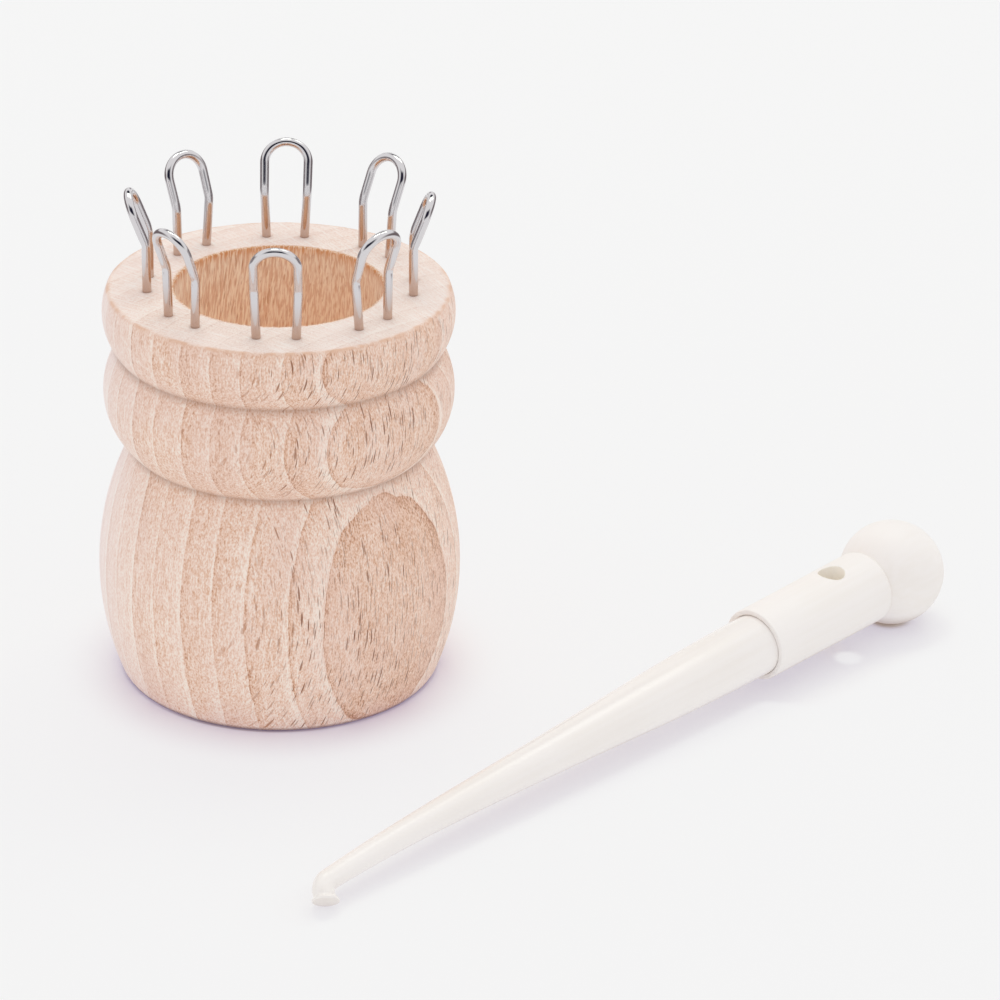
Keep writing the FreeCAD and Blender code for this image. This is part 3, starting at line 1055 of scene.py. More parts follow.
@dataclass(frozen=True)
class Chrome:
    """Bright nickel plating on drawn wire.

    Attributes:
        tint: Its colour.
        painted_wood_reflection: A painted reflection of the wood, the colour the plating takes
            close above it.
        wood_reflection_share: How much of that painted reflection it has, by the height.
        draw_lines: Fine lines along the wire.
        haze: Patches of finer and coarser polish.
        roughness: Roughness by the haze.
        bump_strength: Strength of the draw lines' relief.
        bump_depth: Depth of that relief.
    """

    tint: Colour = (0.72, 0.70, 0.715)
    painted_wood_reflection: Colour = (0.60, 0.44, 0.36)
    wood_reflection_share: Fade = Fade(SPOOL_HEIGHT, SPOOL_HEIGHT + 7.5, 0.9, 0.0)
    draw_lines: Noise = Noise((9.0, 9.0, 0.12))
    haze: Noise = Noise((0.8, 0.8, 0.5), detail=3.0, offset=(7.0, 0.0, 0.0))
    roughness: Fade = Fade(0.35, 0.75, 0.07, 0.16)
    bump_strength: float = 0.25
    bump_depth: float = 0.01

    def material(self) -> bpy.types.Material:
        """Put the plating together.

        Returns:
            The plating, with faint draw lines and a painted reflection of the wood, browner close
            above it.
        """
        material, shader = new_material("bright_plated_wire")
        skin = shader.add("Attribute", attribute_name="skin").outputs["Vector"]
        height = shader.parts(shader.scaled(shader.place(), 1 / MM))[2]
        # Painted reflection: the plating is browner close above the wood that it would mirror.
        low = shader.step(height, self.wood_reflection_share)
        draw_lines = shader.noise(skin, self.draw_lines)
        shader.skin({
            "Base Color": shader.mix(low, self.tint, self.painted_wood_reflection),
            "Metallic": 1.0,
            "Roughness": shader.step(shader.noise(skin, self.haze), self.roughness),
            "Normal": shader.bump(draw_lines, self.bump_strength, self.bump_depth),
        })
        return material


@dataclass(frozen=True)
class CreamPlastic:
    """Moulded cream plastic with a soft gloss.

    Attributes:
        tint: Its colour.
        deep: Its colour where the moulding is slightly yellower.
        lit_through: Painted light on the walls of the cross hole, near the top.
        lit_deep: Painted light lower down in the hole.
        hole_depth: Change from the lower painted light to the upper one, by the height over the
            axis.
        hole_edge: Where the hole's wall ends, outward from its radius.
        shade: Painted shade on the faces turned to the table.
        shade_cover: How much of that painted shade there is.
        under_roughness: Its roughness there.
        flow: Marks drawn out along the tool.
        flow_tone: How much they count beside the cloud.
        cloud: Slow change of gloss and tone.
        deepening: How much of the yellower colour there is, by both together.
        skin: Fine unevenness.
        bump_strength: Strength of its relief.
        bump_depth: Depth of that relief.
        roughness: Roughness by the cloud.
        bend_of_light: Index of refraction.
        specular: Level of the gloss.
    """

    tint: Colour = linear(250, 246, 242)
    deep: Colour = linear(247, 242, 236)
    lit_through: Colour = linear(255, 250, 240)
    lit_deep: Colour = linear(255, 236, 208)
    hole_depth: Fade = Fade(-3.0, 5.0)
    hole_edge: Fade = Fade(0.02, 0.1, 1.0, 0.0)
    shade: Colour = linear(206, 190, 176)
    shade_cover: float = 0.6
    under_roughness: float = 0.85
    flow: Noise = Noise((0.02, 0.9, 0.9))
    flow_tone: float = 0.8
    cloud: Noise = Noise((0.05, 0.07, 0.07), detail=1.0, offset=(3.0, 8.0, 0.0))
    deepening: Fade = Fade(0.3, 0.75, 0.0, 0.7)
    skin: Noise = Noise((0.5, 2.8, 2.8), offset=(0.0, 0.0, 6.0))
    bump_strength: float = 0.15
    bump_depth: float = 0.02
    roughness: Fade = Fade(0.3, 0.7, 0.50, 0.62)
    bend_of_light: float = 1.49
    specular: float = 0.4

    def material(self, name: str, axes: Array, hole: Array,
                 hole_radius: float) -> bpy.types.Material:
        """Put the plastic together.

        Args:
            name: Name of the material.
            axes: The tool's own axes, as columns.
            hole: Middle of the cross hole.
            hole_radius: Its radius.

        Returns:
            The material, with flow marks drawn out along the tool and painted light, a warmer tone,
            within the cross hole, where light goes from wall to wall.
        """
        material, shader = new_material(name)
        back = axes.T
        place = shader.add("Mapping", {
            "Vector": shader.place(),
            "Location": tuple(-back @ hole),
            "Rotation": tuple(Matrix(back.tolist()).to_euler()),
            "Scale": (1 / MM, 1 / MM, 1 / MM),
        }).outputs[0]
        cloud = shader.noise(place, self.cloud)
        share = shader.swayed(cloud, shader.noise(place, self.flow), self.flow_tone)
        colour = shader.mix(shader.step(share, self.deepening), self.tint, self.deep)
        # Painted light within the cross hole.
        off_axis = shader.vector("LENGTH", shader.vector("MULTIPLY", place, (1.0, 1.0, 0.0)))
        off_wall = shader.math("SUBTRACT", off_axis, hole_radius)
        depth = shader.step(shader.parts(place)[2], self.hole_depth)
        glow = shader.mix(depth, self.lit_deep, self.lit_through)
        colour = shader.mix(shader.step(off_wall, self.hole_edge), colour, glow)
        # Painted shade on the underside, where the tool faces the table.
        under = shader.mask("underside")
        rough = shader.math("MAXIMUM", shader.step(cloud, self.roughness),
                            shader.times(under, self.under_roughness))
        relief = shader.noise(place, self.skin)
        shader.skin({
            "Base Color": shader.glaze(colour, under, self.shade_cover, self.shade),
            "Roughness": rough,
            "IOR": self.bend_of_light,
            "Specular IOR Level": self.specular,
            "Normal": shader.bump(relief, self.bump_strength, self.bump_depth),
        })
        return material


# ---------------------------------------------------------------- spool body

@dataclass
class SpoolBody:
    """The turned body: a bulge, two beads, a flat top with sixteen leg holes and an open bore.

    Walls are measured outward from the bore, drops down from the flat top, and a rise is how
    far an arc stands out from its chord.
    """

    base_wall: float = 10.4
    lower_groove_wall: float = 8.2
    upper_groove_wall: float = 10.26
    rim_wall: float = 11.87
    lower_groove_drop: float = 29.55
    upper_groove_drop: float = 11.38
    bulge_rise: float = 5.0
    middle_bead_rise: float = 3.59
    top_bead_rise: float = 1.69

    # The mesh, with how much closer its rows stand in places.
    columns: int = 576
    rows: int = 168
    outline_step: float = 0.1
    closer_on_top: float = 2.6
    closer_at_mouth: float = 2.5
    wider_in_bore: float = 0.65
    mouth_length: float = 2.5
    top_edge: tuple[float, float] = (0.9, 0.2)
    bore_edge: tuple[float, float] = (0.2, 0.6)

    # Sanded edges, the torn mouth of the bore and the pits that the legs press.
    edge_softness: float = 0.22
    base_softness: float = 0.45
    mouth_wear: float = 0.35
    fray: Ripple = Ripple(fewest=30, most=140, count=60, seed=4)
    fray_depth: float = 0.09
    chips: Ripple = Ripple(fewest=14, most=60, count=30, seed=9)
    chip_width: float = 2.2
    chip_depth: float = 3.0
    chip_rarity: float = 1.0
    leg_pit_radius: float = 1.1
    leg_pit_floor: float = 0.88
    leg_pit_depth: float = 0.08

    # How far the painted masks reach.
    top_reach: tuple[float, float] = (0.6, 0.1)
    bore_reach: tuple[float, float] = (0.15, 0.75)
    groove_reach: float = 0.42
    groove_inside: tuple[float, float] = (2.0, 4.0)
    rim_reach: float = 0.35
    mouth_reach: tuple[float, float] = (0.3, 0.9)
    foot_reach: float = 0.28
    leg_shade_radius: float = 0.8
    leg_shade_reach: float = 0.16
    finish: Beech = field(default_factory=Beech)

    @property
    def base_radius(self) -> float:
        """Radius of the base."""
        return BORE_RADIUS + self.base_wall

    @property
    def rim_radius(self) -> float:
        """Radius of the flat top."""
        return BORE_RADIUS + self.rim_wall

    def outline(self) -> Array:
        """Closed outline in radius and height, evenly spaced, its corners softened.

        Returns:
            Points (n, 2), up the outside from the base, in over the top and down the bore.
        """
        base = (self.base_radius, 0.0)
        lower = (BORE_RADIUS + self.lower_groove_wall, SPOOL_HEIGHT - self.lower_groove_drop)
        upper = (BORE_RADIUS + self.upper_groove_wall, SPOOL_HEIGHT - self.upper_groove_drop)
        rim = (self.rim_radius, SPOOL_HEIGHT)
        mouth = (BORE_RADIUS, SPOOL_HEIGHT)
        foot = (BORE_RADIUS, 0.0)
        corners = np.concatenate([
            bowed(base, lower, self.bulge_rise), bowed(lower, upper, self.middle_bead_rise)[1:],
            bowed(upper, rim, self.top_bead_rise)[1:], [mouth, foot, base]])
        length = path_length(corners)
        even = np.linspace(0, length[-1], int(length[-1] / self.outline_step), endpoint=False)
        points = resampled(corners, even)
        near_base = bump_at(points[:, 1], 3 * self.base_softness)
        width = self.edge_softness + (self.base_softness - self.edge_softness) * near_base
        return softened(points, width, closed=True)

    def rows_of(self, points: Array) -> tuple[Array, Array]:
        """Rows of the mesh along the outline, with their outward directions.

        Args:
            points: Closed outline.

        Returns:
            Places (rows, 2) in radius and height, close together on the flat top and at the
            grooves, and the unit normals there.
        """
        ring = np.concatenate([points, points[:1]])
        length = path_length(ring)
        radius, height = ring.T
        begin, end = self.top_edge
        on_top = smooth_step(height, SPOOL_HEIGHT - begin, SPOOL_HEIGHT - end)
        in_bore = 1 - smooth_step(radius - BORE_RADIUS, *self.bore_edge)
        at_mouth = bump_at(height - SPOOL_HEIGHT, self.mouth_length) * in_bore
        density = (1 + self.closer_on_top * on_top - self.wider_in_bore * in_bore * (1 - on_top)
                   + self.closer_at_mouth * at_mouth + self.groove_mask(radius, height))
        places = spread_rows(length, density, self.rows + 1)[:-1]
        tangent = np.gradient(ring, length, axis=0)
        tangent = np.stack([np.interp(places, length, part) for part in tangent.T], axis=1)
        tangent /= np.linalg.norm(tangent, axis=1, keepdims=True)
        return resampled(ring, places), np.stack([tangent[:, 1], -tangent[:, 0]], axis=1)

    def groove_mask(self, radius: Array, height: Array) -> Array:
        """Where the two grooves between the beads are.

        Args:
            radius: Places' distances from the axis.
            height: Their heights.

        Returns:
            1 in a groove, falling off as a bell over the height.
        """
        outside = smooth_step(radius - BORE_RADIUS, *self.groove_inside)
        mask = sum(bump_at(height - (SPOOL_HEIGHT - drop), self.groove_reach)
                   for drop in (self.lower_groove_drop, self.upper_groove_drop))
        return mask * outside

    def worn(self, radius: Array, height: Array) -> tuple[Array, Array]:
        """Fray and chip the mouth of the bore.

        Args:
            radius: Distances from the axis (rows, columns).
            height: Heights.

        Returns:
            Both, with the mouth moved outward and down by uneven waves round the circle and by
            the tops of slower ones.
        """
        angle = turns_of(self.columns)
        at_mouth = (bump_at(radius - BORE_RADIUS, self.mouth_wear)
                    * bump_at(height - SPOOL_HEIGHT, self.mouth_wear)) * self.fray_depth
        fray = self.fray.at(angle)
        chips = np.clip(self.chips.at(angle) - self.chip_rarity, 0, 1)
        return (radius + at_mouth * (fray + self.chip_width * chips),
                height - at_mouth * (np.clip(fray, 0, 1) + self.chip_depth * chips))

    def build(self, legs: Array) -> bpy.types.Object:
        """Make, paint and seat the body.

        Args:
            legs: Where the loops' legs enter the top, (n, 2).

        Returns:
            The object.
        """
        places, normals = self.rows_of(self.outline())
        angle = turns_of(self.columns)
        radius, height = (np.repeat(part[:, None], self.columns, axis=1) for part in places.T)
        radius, height = self.worn(radius, height)
        points = np.stack([radius * np.cos(angle), radius * np.sin(angle), height], axis=-1)
        begin, end = self.top_reach
        on_top = smooth_step(height, SPOOL_HEIGHT - begin, SPOOL_HEIGHT - end)
        gap = np.linalg.norm(points[:, :, None, :2] - legs, axis=-1).min(axis=2)
        pit = smooth_step(-gap, -self.leg_pit_radius, -self.leg_pit_floor) * on_top
        points[:, :, 2] -= self.leg_pit_depth * pit

        piece = write_mesh("turned_body", points.reshape(-1, 3),
                           [grid_quads(self.rows, self.columns, closed_rows=True)])
        heading = math.radians(self.finish.rings.heading)
        off_bore, below_top = radius - BORE_RADIUS, height - SPOOL_HEIGHT
        # groove, leg_shade and foot are masks of painted shade; rim and mouth are masks of wear.
        paint(piece,
              across_rays=np.abs(normals[:, :1] * np.cos(angle - heading)),
              end_grain=np.abs(normals[:, 1:]) ** 3 * on_top,
              bore=1 - smooth_step(off_bore, *self.bore_reach),
              groove=self.groove_mask(radius, height),
              rim=(bump_at(radius - self.rim_radius, self.rim_reach)
                   * bump_at(below_top, self.rim_reach)),
              mouth=(bump_at(off_bore, self.mouth_reach[0])
                     * bump_at(below_top, self.mouth_reach[1])),
              foot=bump_at(height, self.foot_reach),
              leg_shade=bump_at(gap - self.leg_shade_radius, self.leg_shade_reach) * on_top)
        seat(piece, Body.SPOOL, "spool_body", self.finish.material())
        return piece


# ---------------------------------------------------------------- wire loops

@dataclass(frozen=True)
class Bend:
    """How one hand-bent loop differs from the even one at the top of its arch.

    Attributes:
        aside: Shift along its width, to the left seen from the bore.
        outward: Shift away from the bore.
        wider: Growth of its width.
    """

    aside: float = 0.0
    outward: float = 0.0
    wider: float = 0.0


@dataclass
class WireLoops:
    """Eight bent wire loops that stand round the bore and lean outward above a kink."""

    bends: tuple[Bend, ...] = (
        Bend(), Bend(outward=-0.9, wider=0.7), Bend(outward=-0.2), Bend(outward=0.7, wider=0.1),
        Bend(aside=-0.2, wider=0.4), Bend(aside=-0.6, wider=0.5), Bend(), Bend())
    centre: Triple = (0.35, 0.0, 0.0)
    ring_turn: float = -0.4
    wire_radius: float = 0.8
    leg_inset: float = 4.95
    leg_spacing: float = 6.9
    kink_spread: float = 0.65
    stem_height: float = 8.75
    lean_length: float = 5.1
    lean_angle: float = 21.0
    kink_bend_radius: float = 4.0
    splay_bend_radius: float = 10.0
    leg_depth: float = 12.0
    press_mark_depth: float = 0.09
    press_mark_length: float = 0.5
    kink_points: int = 16
    splay_points: int = 12
    arch_points: int = 60
    route_points: int = 600
    rows: int = 220
    columns: int = 28
    finish: Chrome = field(default_factory=Chrome)

    def directions(self, number: int) -> tuple[Array, Array]:
        """The way outward from the bore at a loop, and to its left seen from the bore.

        Args:
            number: Number of the loop, from 1.

        Returns:
            Two unit vectors, turned from -Y by the loop's share of the circle.
        """
        turn = math.tau / len(self.bends) * (number - 1) + math.radians(self.ring_turn)
        return (np.array([math.sin(turn), -math.cos(turn), 0.0]),
                np.array([math.cos(turn), math.sin(turn), 0.0]))

    def foot(self, number: int) -> Array:
        """Middle between a loop's legs, on the flat top."""
        outward = self.directions(number)[0] * (BORE_RADIUS + self.leg_inset)
        return outward + self.centre + [0.0, 0.0, SPOOL_HEIGHT]

    def legs(self) -> Array:
        """Where every leg enters the wood.

        Returns:
            Places (n, 2), half the legs' spacing to either side of each loop's foot.
        """
        numbers = range(1, len(self.bends) + 1)
        return np.array([(self.foot(number) + side * self.directions(number)[1])[:2]
                         for side in (-self.leg_spacing / 2, self.leg_spacing / 2)
                         for number in numbers])

    def route(self) -> Route:
        """Centre line of a loop in its own frame: X across, Y outward and Z up from the wood.

        Returns:
            Straight legs, a slight splay at the wood, the kink, the lean and a half-round arch.
        """
        lean = math.radians(self.lean_angle)
        outward = np.array([0.0, math.sin(lean), math.cos(lean)])
        arch_radius = (self.leg_spacing + self.kink_spread) / 2
        foot = np.array([self.leg_spacing / 2, 0.0, 0.0])
        kink = np.array([arch_radius, 0.0, self.stem_height])
        arch_centre = np.array([0.0, 0.0, self.stem_height]) + outward * self.lean_length
        arch_start = arch_centre + [arch_radius, 0.0, 0.0]
        buried = foot - [0.0, 0.0, self.leg_depth]
        angle = np.linspace(0, math.pi, self.arch_points)[:, None]
        arch = arch_centre + arch_radius * (np.cos(angle) * [1.0, 0.0, 0.0]
                                            + np.sin(angle) * outward)
        leg = np.concatenate([
            [buried],
            rounded_corner(buried, foot, kink, self.splay_bend_radius, self.splay_points),
            rounded_corner(foot, kink, arch_start, self.kink_bend_radius, self.kink_points)])
        other_leg = leg[::-1] * [-1.0, 1.0, 1.0]
        line = np.concatenate([leg, arch, other_leg])
        even = np.linspace(0, path_length(line)[-1], self.route_points)
        return Route(resampled(line, even), np.array([0.0, 1.0, 0.0]))

    def surface(self) -> tuple[Array, list[Array], Array]:
        """Skin of a loop in its own frame.

        Returns:
            Vertices, faces, and for each vertex its place across the wire and along it.  The
            wire is round, and a little flattened outward and inward at the two kinks.
        """
        route = self.route()
        length = path_length(route.points)
        places = np.linspace(0, length[-1], self.rows)
        centres, across, upward = route.frames(places)
        kinks = length[np.argsort(np.abs(route.points[:, 2] - self.stem_height))]
        kink_places = np.array([kinks[kinks < length[-1] / 2][0], kinks[kinks > length[-1] / 2][0]])
        near = bump_at(places[:, None] - kink_places, self.press_mark_length).sum(axis=1)
        angle = turns_of(self.columns)
        radius = self.wire_radius - self.press_mark_depth * near[:, None] * np.sin(angle) ** 4
        points, faces = rod(centres, radius, across, upward, centres[[0, -1]])
        skin = np.stack([radius * np.cos(angle), radius * np.sin(angle),
                         np.repeat(places[:, None], self.columns, axis=1)], axis=-1)
        poles = np.array([[0.0, 0.0, 0.0], [0.0, 0.0, length[-1]]])
        return points, faces, np.concatenate([skin.reshape(-1, 3), poles])

    def build(self) -> list[bpy.types.Object]:
        """Make and seat the loops.

        Returns:
            The objects: the one skin, bent by a share that grows from the wood to the arch's
            top, and stood at each loop's foot.
        """
        points, faces, skin = self.surface()
        material = self.finish.material()
        pieces = []
        share = np.clip(points[:, 2:] / points[:, 2].max(), 0, 1)
        for number, bend in enumerate(self.bends, start=1):
            outward, left = self.directions(number)
            across = points[:, :1] * (1 + share * bend.wider / self.leg_spacing)
            stood = (self.foot(number) - (across - share * bend.aside) * left
                     + (points[:, 1:2] + share * bend.outward) * outward
                     + points[:, 2:] * [0.0, 0.0, 1.0])
            piece = write_mesh(f"loop_{number}", stood, faces)
            paint(piece, skin=skin)
            seat(piece, Body.SPOOL, f"wire_loop_{number}", material)
            pieces.append(piece)
        return pieces


# ---------------------------------------------------------------- hook tool

@dataclass
class HookTool:
    """The tool: a ball and sleeve in one moulding, and a tapered shaft with a bent end.

    Stations run along the tool from the ball's centre.
    """

    # Ball and sleeve.
    ball_radius: float = 9.85
    sleeve_length: float = 39.4
    sleeve_wall: float = 1.03
    sleeve_growth: float = 0.2
    sleeve_end_round: float = 1.0
    socket_clearance: float = 0.02
    socket_web: float = 2.6
    hang_hole_radius: float = 2.5
    hang_hole_station: float = 17.9
    hole_rim_round: float = 0.2
    hole_sides: int = 128
    drill_overshoot: float = 1.5
    sharp_angle: float = 50.0
    edge_softness: float = 0.05
    rim_softness: float = 0.17

    # Shaft, crook and the small flat foot at its end.
    shaft_root_radius: float = 5.7
    shoulder_station: float = 32.6
    shoulder_radius: float = 4.72
    full_stretch_rise: float = 0.19
    slim_stretch_hollow: float = 0.29
    tip_radius: float = 1.87
    droop_station: float = 101.0
    droop_angle: float = 4.0
    crook_station: float = 147.3
    crook_radius: float = 2.4
    crook_angle: float = 58.5
    crook_leg: float = 1.95
    crook_roll: float = 46.0
    foot_radius: float = 2.35
    foot_inset: float = 0.4
    foot_flare: float = 0.9
    foot_flat_share: float = 0.3
    foot_inset_share: float = 2.2
    foot_softness: float = 0.15

    # Where it lies.
    ball_x: float = 114.55
    ball_y: float = 17.16
    heading: float = -135.4
    dip: float = 1.95054

    # The meshes, with how much closer their rows stand in places.
    outline_step: float = 0.05
    ball_points: int = 200
    shoulder_points: int = 30
    flare_points: int = 20
    route_points: int = 6000
    handle_rows: int = 230
    shaft_rows: int = 300
    columns: int = 300
    closer_at_hole: float = 3.0
    hole_length: float = 2.0
    closer_at_edges: float = 2.0
    edge_length: float = 0.8
    neck_radius: float = 6.0
    closer_outside: float = 0.6
    wide_rows: float = 0.2
    outside_share: float = 0.75
    closer_at_crook: float = 9.0
    crook_lead: float = 4.0
    closer_at_sleeve: float = 3.0
    sleeve_end_length: float = 1.0
    sleeve_finish: CreamPlastic = field(default_factory=CreamPlastic)
    shaft_finish: CreamPlastic = field(
        default_factory=lambda: CreamPlastic(roughness=Fade(0.3, 0.7, 0.14, 0.22)))

    @property
    def socket_radius(self) -> float:
        """Inner radius of the sleeve."""
        return self.shaft_root_radius + self.socket_clearance

    @property
    def socket_end(self) -> float:
        """Station of the socket's bottom."""
        return self.hang_hole_station + self.hang_hole_radius + self.socket_web

    @property
    def underside(self) -> Array:
        """Direction that the crook bends towards, on the tool's own axes."""
        roll = math.radians(90 - self.crook_roll)
        return np.array([0.0, math.sin(roll), -math.cos(roll)])

    @property
    def crook_turn(self) -> float:
        """Turn of the crook's arc, radians."""
        return math.radians(self.crook_angle - self.droop_angle)

    @property
    def shaft_reach(self) -> float:
        """Running length of the shaft's centre line, counted as a station, to the flat end."""
        return self.crook_station + self.crook_radius * self.crook_turn + self.crook_leg

    def axes(self) -> Array:
        """The tool's own axes as columns: along it, aside, and the cross hole's, nearly up.

        Returns:
            The heading about +Z, then the dip at which ball and crook both touch the table.
        """
        heading = Matrix.Rotation(math.radians(self.heading), 3, "Z")
        return np.array(heading @ Matrix.Rotation(math.radians(self.dip), 3, "Y"))

    def placed(self, local: Array) -> Array:
        """Take points from the tool's own axes to the scene's."""
        centre = np.array([self.ball_x, self.ball_y, self.ball_radius])
        return centre + local @ self.axes().T

    def dress(self, piece: bpy.types.Object, node: str, finish: CreamPlastic,
              name: str) -> bpy.types.Object:
        """Paint and seat a piece of the tool.

        Args:
            piece: The object.
            node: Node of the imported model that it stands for.
            finish: Its plastic.
            name: Name of its material.

        Returns:
            The object.
        """
        paint_underside(piece)
        hole = self.placed(np.array([self.hang_hole_station, 0.0, 0.0]))
        material = finish.material(name, self.axes(), hole, self.hang_hole_radius)
        seat(piece, Body.TOOL, node, material)
        return piece

    def handle_outline(self) -> Array:
        """Half outline of the ball and sleeve, from the ball's pole to the socket's bottom.

        Returns:
            Points (n, 2) in station and radius, evenly spaced, with the mouth's edges softened.
        """
        mouth = self.socket_radius + self.sleeve_wall
        root = mouth + self.sleeve_growth
        neck = root - self.sleeve_end_round
        neck_station = math.sqrt(self.ball_radius ** 2 - neck ** 2)
        turn = np.linspace(math.pi, math.atan2(neck, neck_station), self.ball_points)
        ball = self.ball_radius * np.stack([np.cos(turn), np.sin(turn)], axis=1)
        turn = np.linspace(0, math.pi / 2, self.shoulder_points)
        shoulder = np.stack([neck_station + self.sleeve_end_round * (1 - np.cos(turn)),
                             neck + self.sleeve_end_round * np.sin(turn)], axis=1)
        inside = [(self.sleeve_length, mouth), (self.sleeve_length, self.socket_radius),
                  (self.socket_end, self.socket_radius), (self.socket_end, 0.0)]
        points = self.evenly(np.concatenate([ball, shoulder[1:], inside]))
        at_mouth = bump_at(points[:, 0] - self.sleeve_length, self.sleeve_end_length)
        width = self.edge_softness + self.rim_softness * at_mouth
        return softened(points, width, closed=False)

    def evenly(self, corners: Array) -> Array:
        """Points at equal steps along an outline."""
        length = path_length(corners)[-1]
        return resampled(corners, np.linspace(0, length, int(length / self.outline_step)))

    def round_hole_rim(self, local: Array) -> Array:
        """Dip the sleeve's skin in a quarter round at the edge of the cross hole.

        Args:
            local: Vertices on the tool's own axes.

        Returns:
            The vertices, those within the rim's rounding moved towards the middle of the hole
            by the rounding less the root of its square minus that of the share left.
        """
        gap = np.hypot(local[:, 0] - self.hang_hole_station, local[:, 1]) - self.hang_hole_radius
        left = np.clip(self.hole_rim_round - gap, 0, self.hole_rim_round)
        dip = self.hole_rim_round - np.sqrt(self.hole_rim_round ** 2 - left ** 2)
        on_skin = np.hypot(local[:, 1], local[:, 2]) > self.socket_radius
        moved = local.copy()
        moved[:, 2] -= np.sign(local[:, 2]) * dip * on_skin
        return moved

    def drill(self, piece: bpy.types.Object) -> None:
        """Cut the cross hole right through the sleeve and keep the result as plain mesh.

        Args:
            piece: The ball and sleeve.
        """
        reach = self.drill_overshoot * self.ball_radius
        ends = np.array([[self.hang_hole_station, 0.0, end] for end in (-reach, reach)])
        points, faces = rod(ends, np.full((2, self.hole_sides), self.hang_hole_radius),
                            np.array([[1.0, 0.0, 0.0]] * 2), np.array([[0.0, 1.0, 0.0]] * 2), ends)
        drill = write_mesh("drill", self.placed(points), faces)
        modifier = piece.modifiers.new("cross_hole", "BOOLEAN")
        modifier.operation, modifier.solver, modifier.object = "DIFFERENCE", "EXACT", drill
        graph = bpy.context.evaluated_depsgraph_get()
        cut = bpy.data.meshes.new_from_object(piece.evaluated_get(graph))
        piece.modifiers.clear()
        piece.data = cut
        bpy.data.objects.remove(drill)
        cut.shade_smooth()
        cut.set_sharp_from_angle(angle=math.radians(self.sharp_angle))

    def build_handle(self) -> bpy.types.Object:
        """Make and seat the ball and sleeve.

        Returns:
            The object: the half outline turned about the tool's axis, with the hole cut.
        """
        outline = self.handle_outline()
        stations = outline[:, 0]
        near_hole = bump_at(stations - self.hang_hole_station, self.hole_length)
        near_mouth = bump_at(stations - self.sleeve_length, self.edge_length)
        neck = math.sqrt(self.ball_radius ** 2 - self.neck_radius ** 2)
        near_neck = bump_at(stations - neck, self.edge_length)
        outside = np.arange(len(outline)) < self.outside_share * len(outline)
        density = (self.wide_rows + self.closer_at_hole * near_hole * outside
                   + self.closer_at_edges * (near_mouth + near_neck)
                   + self.closer_outside * outside)
        places = spread_rows(path_length(outline), density, self.handle_rows)
        rows = resampled(outline, places)[1:-1]
        centres = rows[:, :1] * [1.0, 0.0, 0.0]
        points, faces = rod(centres, np.repeat(rows[:, 1:], self.columns, axis=1),
                            np.zeros_like(centres) + [0.0, 1.0, 0.0],
                            np.zeros_like(centres) + [0.0, 0.0, 1.0],
                            np.array([[-self.ball_radius, 0.0, 0.0], [self.socket_end, 0.0, 0.0]]))
        piece = write_mesh("ball_and_sleeve", self.placed(self.round_hole_rim(points)), faces)
        self.drill(piece)
        return self.dress(piece, "ball_handle", self.sleeve_finish, "cream_sleeve")

    def shaft_route(self) -> Route:
        """Centre line of the shaft on the tool's own axes.

        Returns:
            A straight stretch from the socket's bottom, a slight droop towards the underside
            that grows with the square of the way, the crook's arc and its short leg.  Each step
            along the line goes by the cosine of the turn so far along the tool and by its sine
            towards the underside.
        """
        station = np.linspace(self.socket_end, self.shaft_reach, self.route_points)
        share = (station - self.droop_station) / (self.crook_station - self.droop_station)
        droop = math.radians(self.droop_angle) * np.clip(share, 0, 1) ** 2
        bend = np.clip((station - self.crook_station) / self.crook_radius, 0, self.crook_turn)
        turn = (droop + bend)[1:]
        along = np.array([1.0, 0.0, 0.0])
        steps = np.diff(station)[:, None] * (np.cos(turn)[:, None] * along
                                             + np.sin(turn)[:, None] * self.underside)
        start = along * self.socket_end
        line = np.concatenate([[start], start + np.cumsum(steps, axis=0)])
        return Route(line, np.cross(along, self.underside))

    def shaft_outline(self) -> Array:
        """Radius of the shaft along its centre line.

        Returns:
            Points (n, 2) in station and radius from pole to pole: the two bowed stretches, the
            even crook, and the foot that flares out to its flat end.
        """
        start, end = self.socket_end, self.shaft_reach
        shoulder = (self.sleeve_length + self.shoulder_station, self.shoulder_radius)
        root = (self.sleeve_length, self.shaft_root_radius)
        tip = (self.crook_station, self.tip_radius)
        full = bowed(root, shoulder, -self.full_stretch_rise)
        slim = bowed(shoulder, tip, self.slim_stretch_hollow)
        flare = np.linspace(end - self.foot_flare, end, self.flare_points)
        swell = smooth_step(flare, end - self.foot_flare,
                            end - self.foot_flat_share * self.foot_flare)
        foot = np.stack([flare, self.tip_radius + (self.foot_radius - self.tip_radius) * swell],
                        axis=1)
        points = self.evenly(np.concatenate([
            [(start, 0.0), (start, self.shaft_root_radius)], full, slim[1:], foot, [(end, 0.0)]]))
        return softened(points, np.full(len(points), self.foot_softness), closed=False)

    def build_shaft(self) -> bpy.types.Object:
        """Make and seat the shaft with its hook.

        Returns:
            The object: round rings about the centre line, those of the foot moved to one side.
        """
        outline = self.shaft_outline()
        stations = outline[:, 0]
        crooked = smooth_step(stations, self.crook_station - self.crook_lead, self.crook_station)
        at_sleeve = bump_at(stations - self.sleeve_length, self.sleeve_end_length)
        density = 1 + self.closer_at_crook * crooked + self.closer_at_sleeve * at_sleeve
        rows = resampled(outline, spread_rows(path_length(outline), density, self.shaft_rows))
        centres, across, inward = self.shaft_route().frames(rows[:, 0] - self.socket_end)
        end = self.shaft_reach
        inset = self.foot_inset * smooth_step(
            rows[:, 0], end - self.foot_inset_share * self.foot_flare, end)
        toward = np.sign(across @ self.underside)[:, None] * across
        toward[0] = 0.0
        centres = centres + inset[:, None] * toward
        radius = np.repeat(rows[1:-1, 1:], self.columns, axis=1)
        points, faces = rod(centres[1:-1], radius, across[1:-1], inward[1:-1], centres[[0, -1]])
        piece = write_mesh("hook_and_shaft", self.placed(points), faces)
        return self.dress(piece, "hook_shaft", self.shaft_finish, "cream_shaft")


# ---------------------------------------------------------------- stage

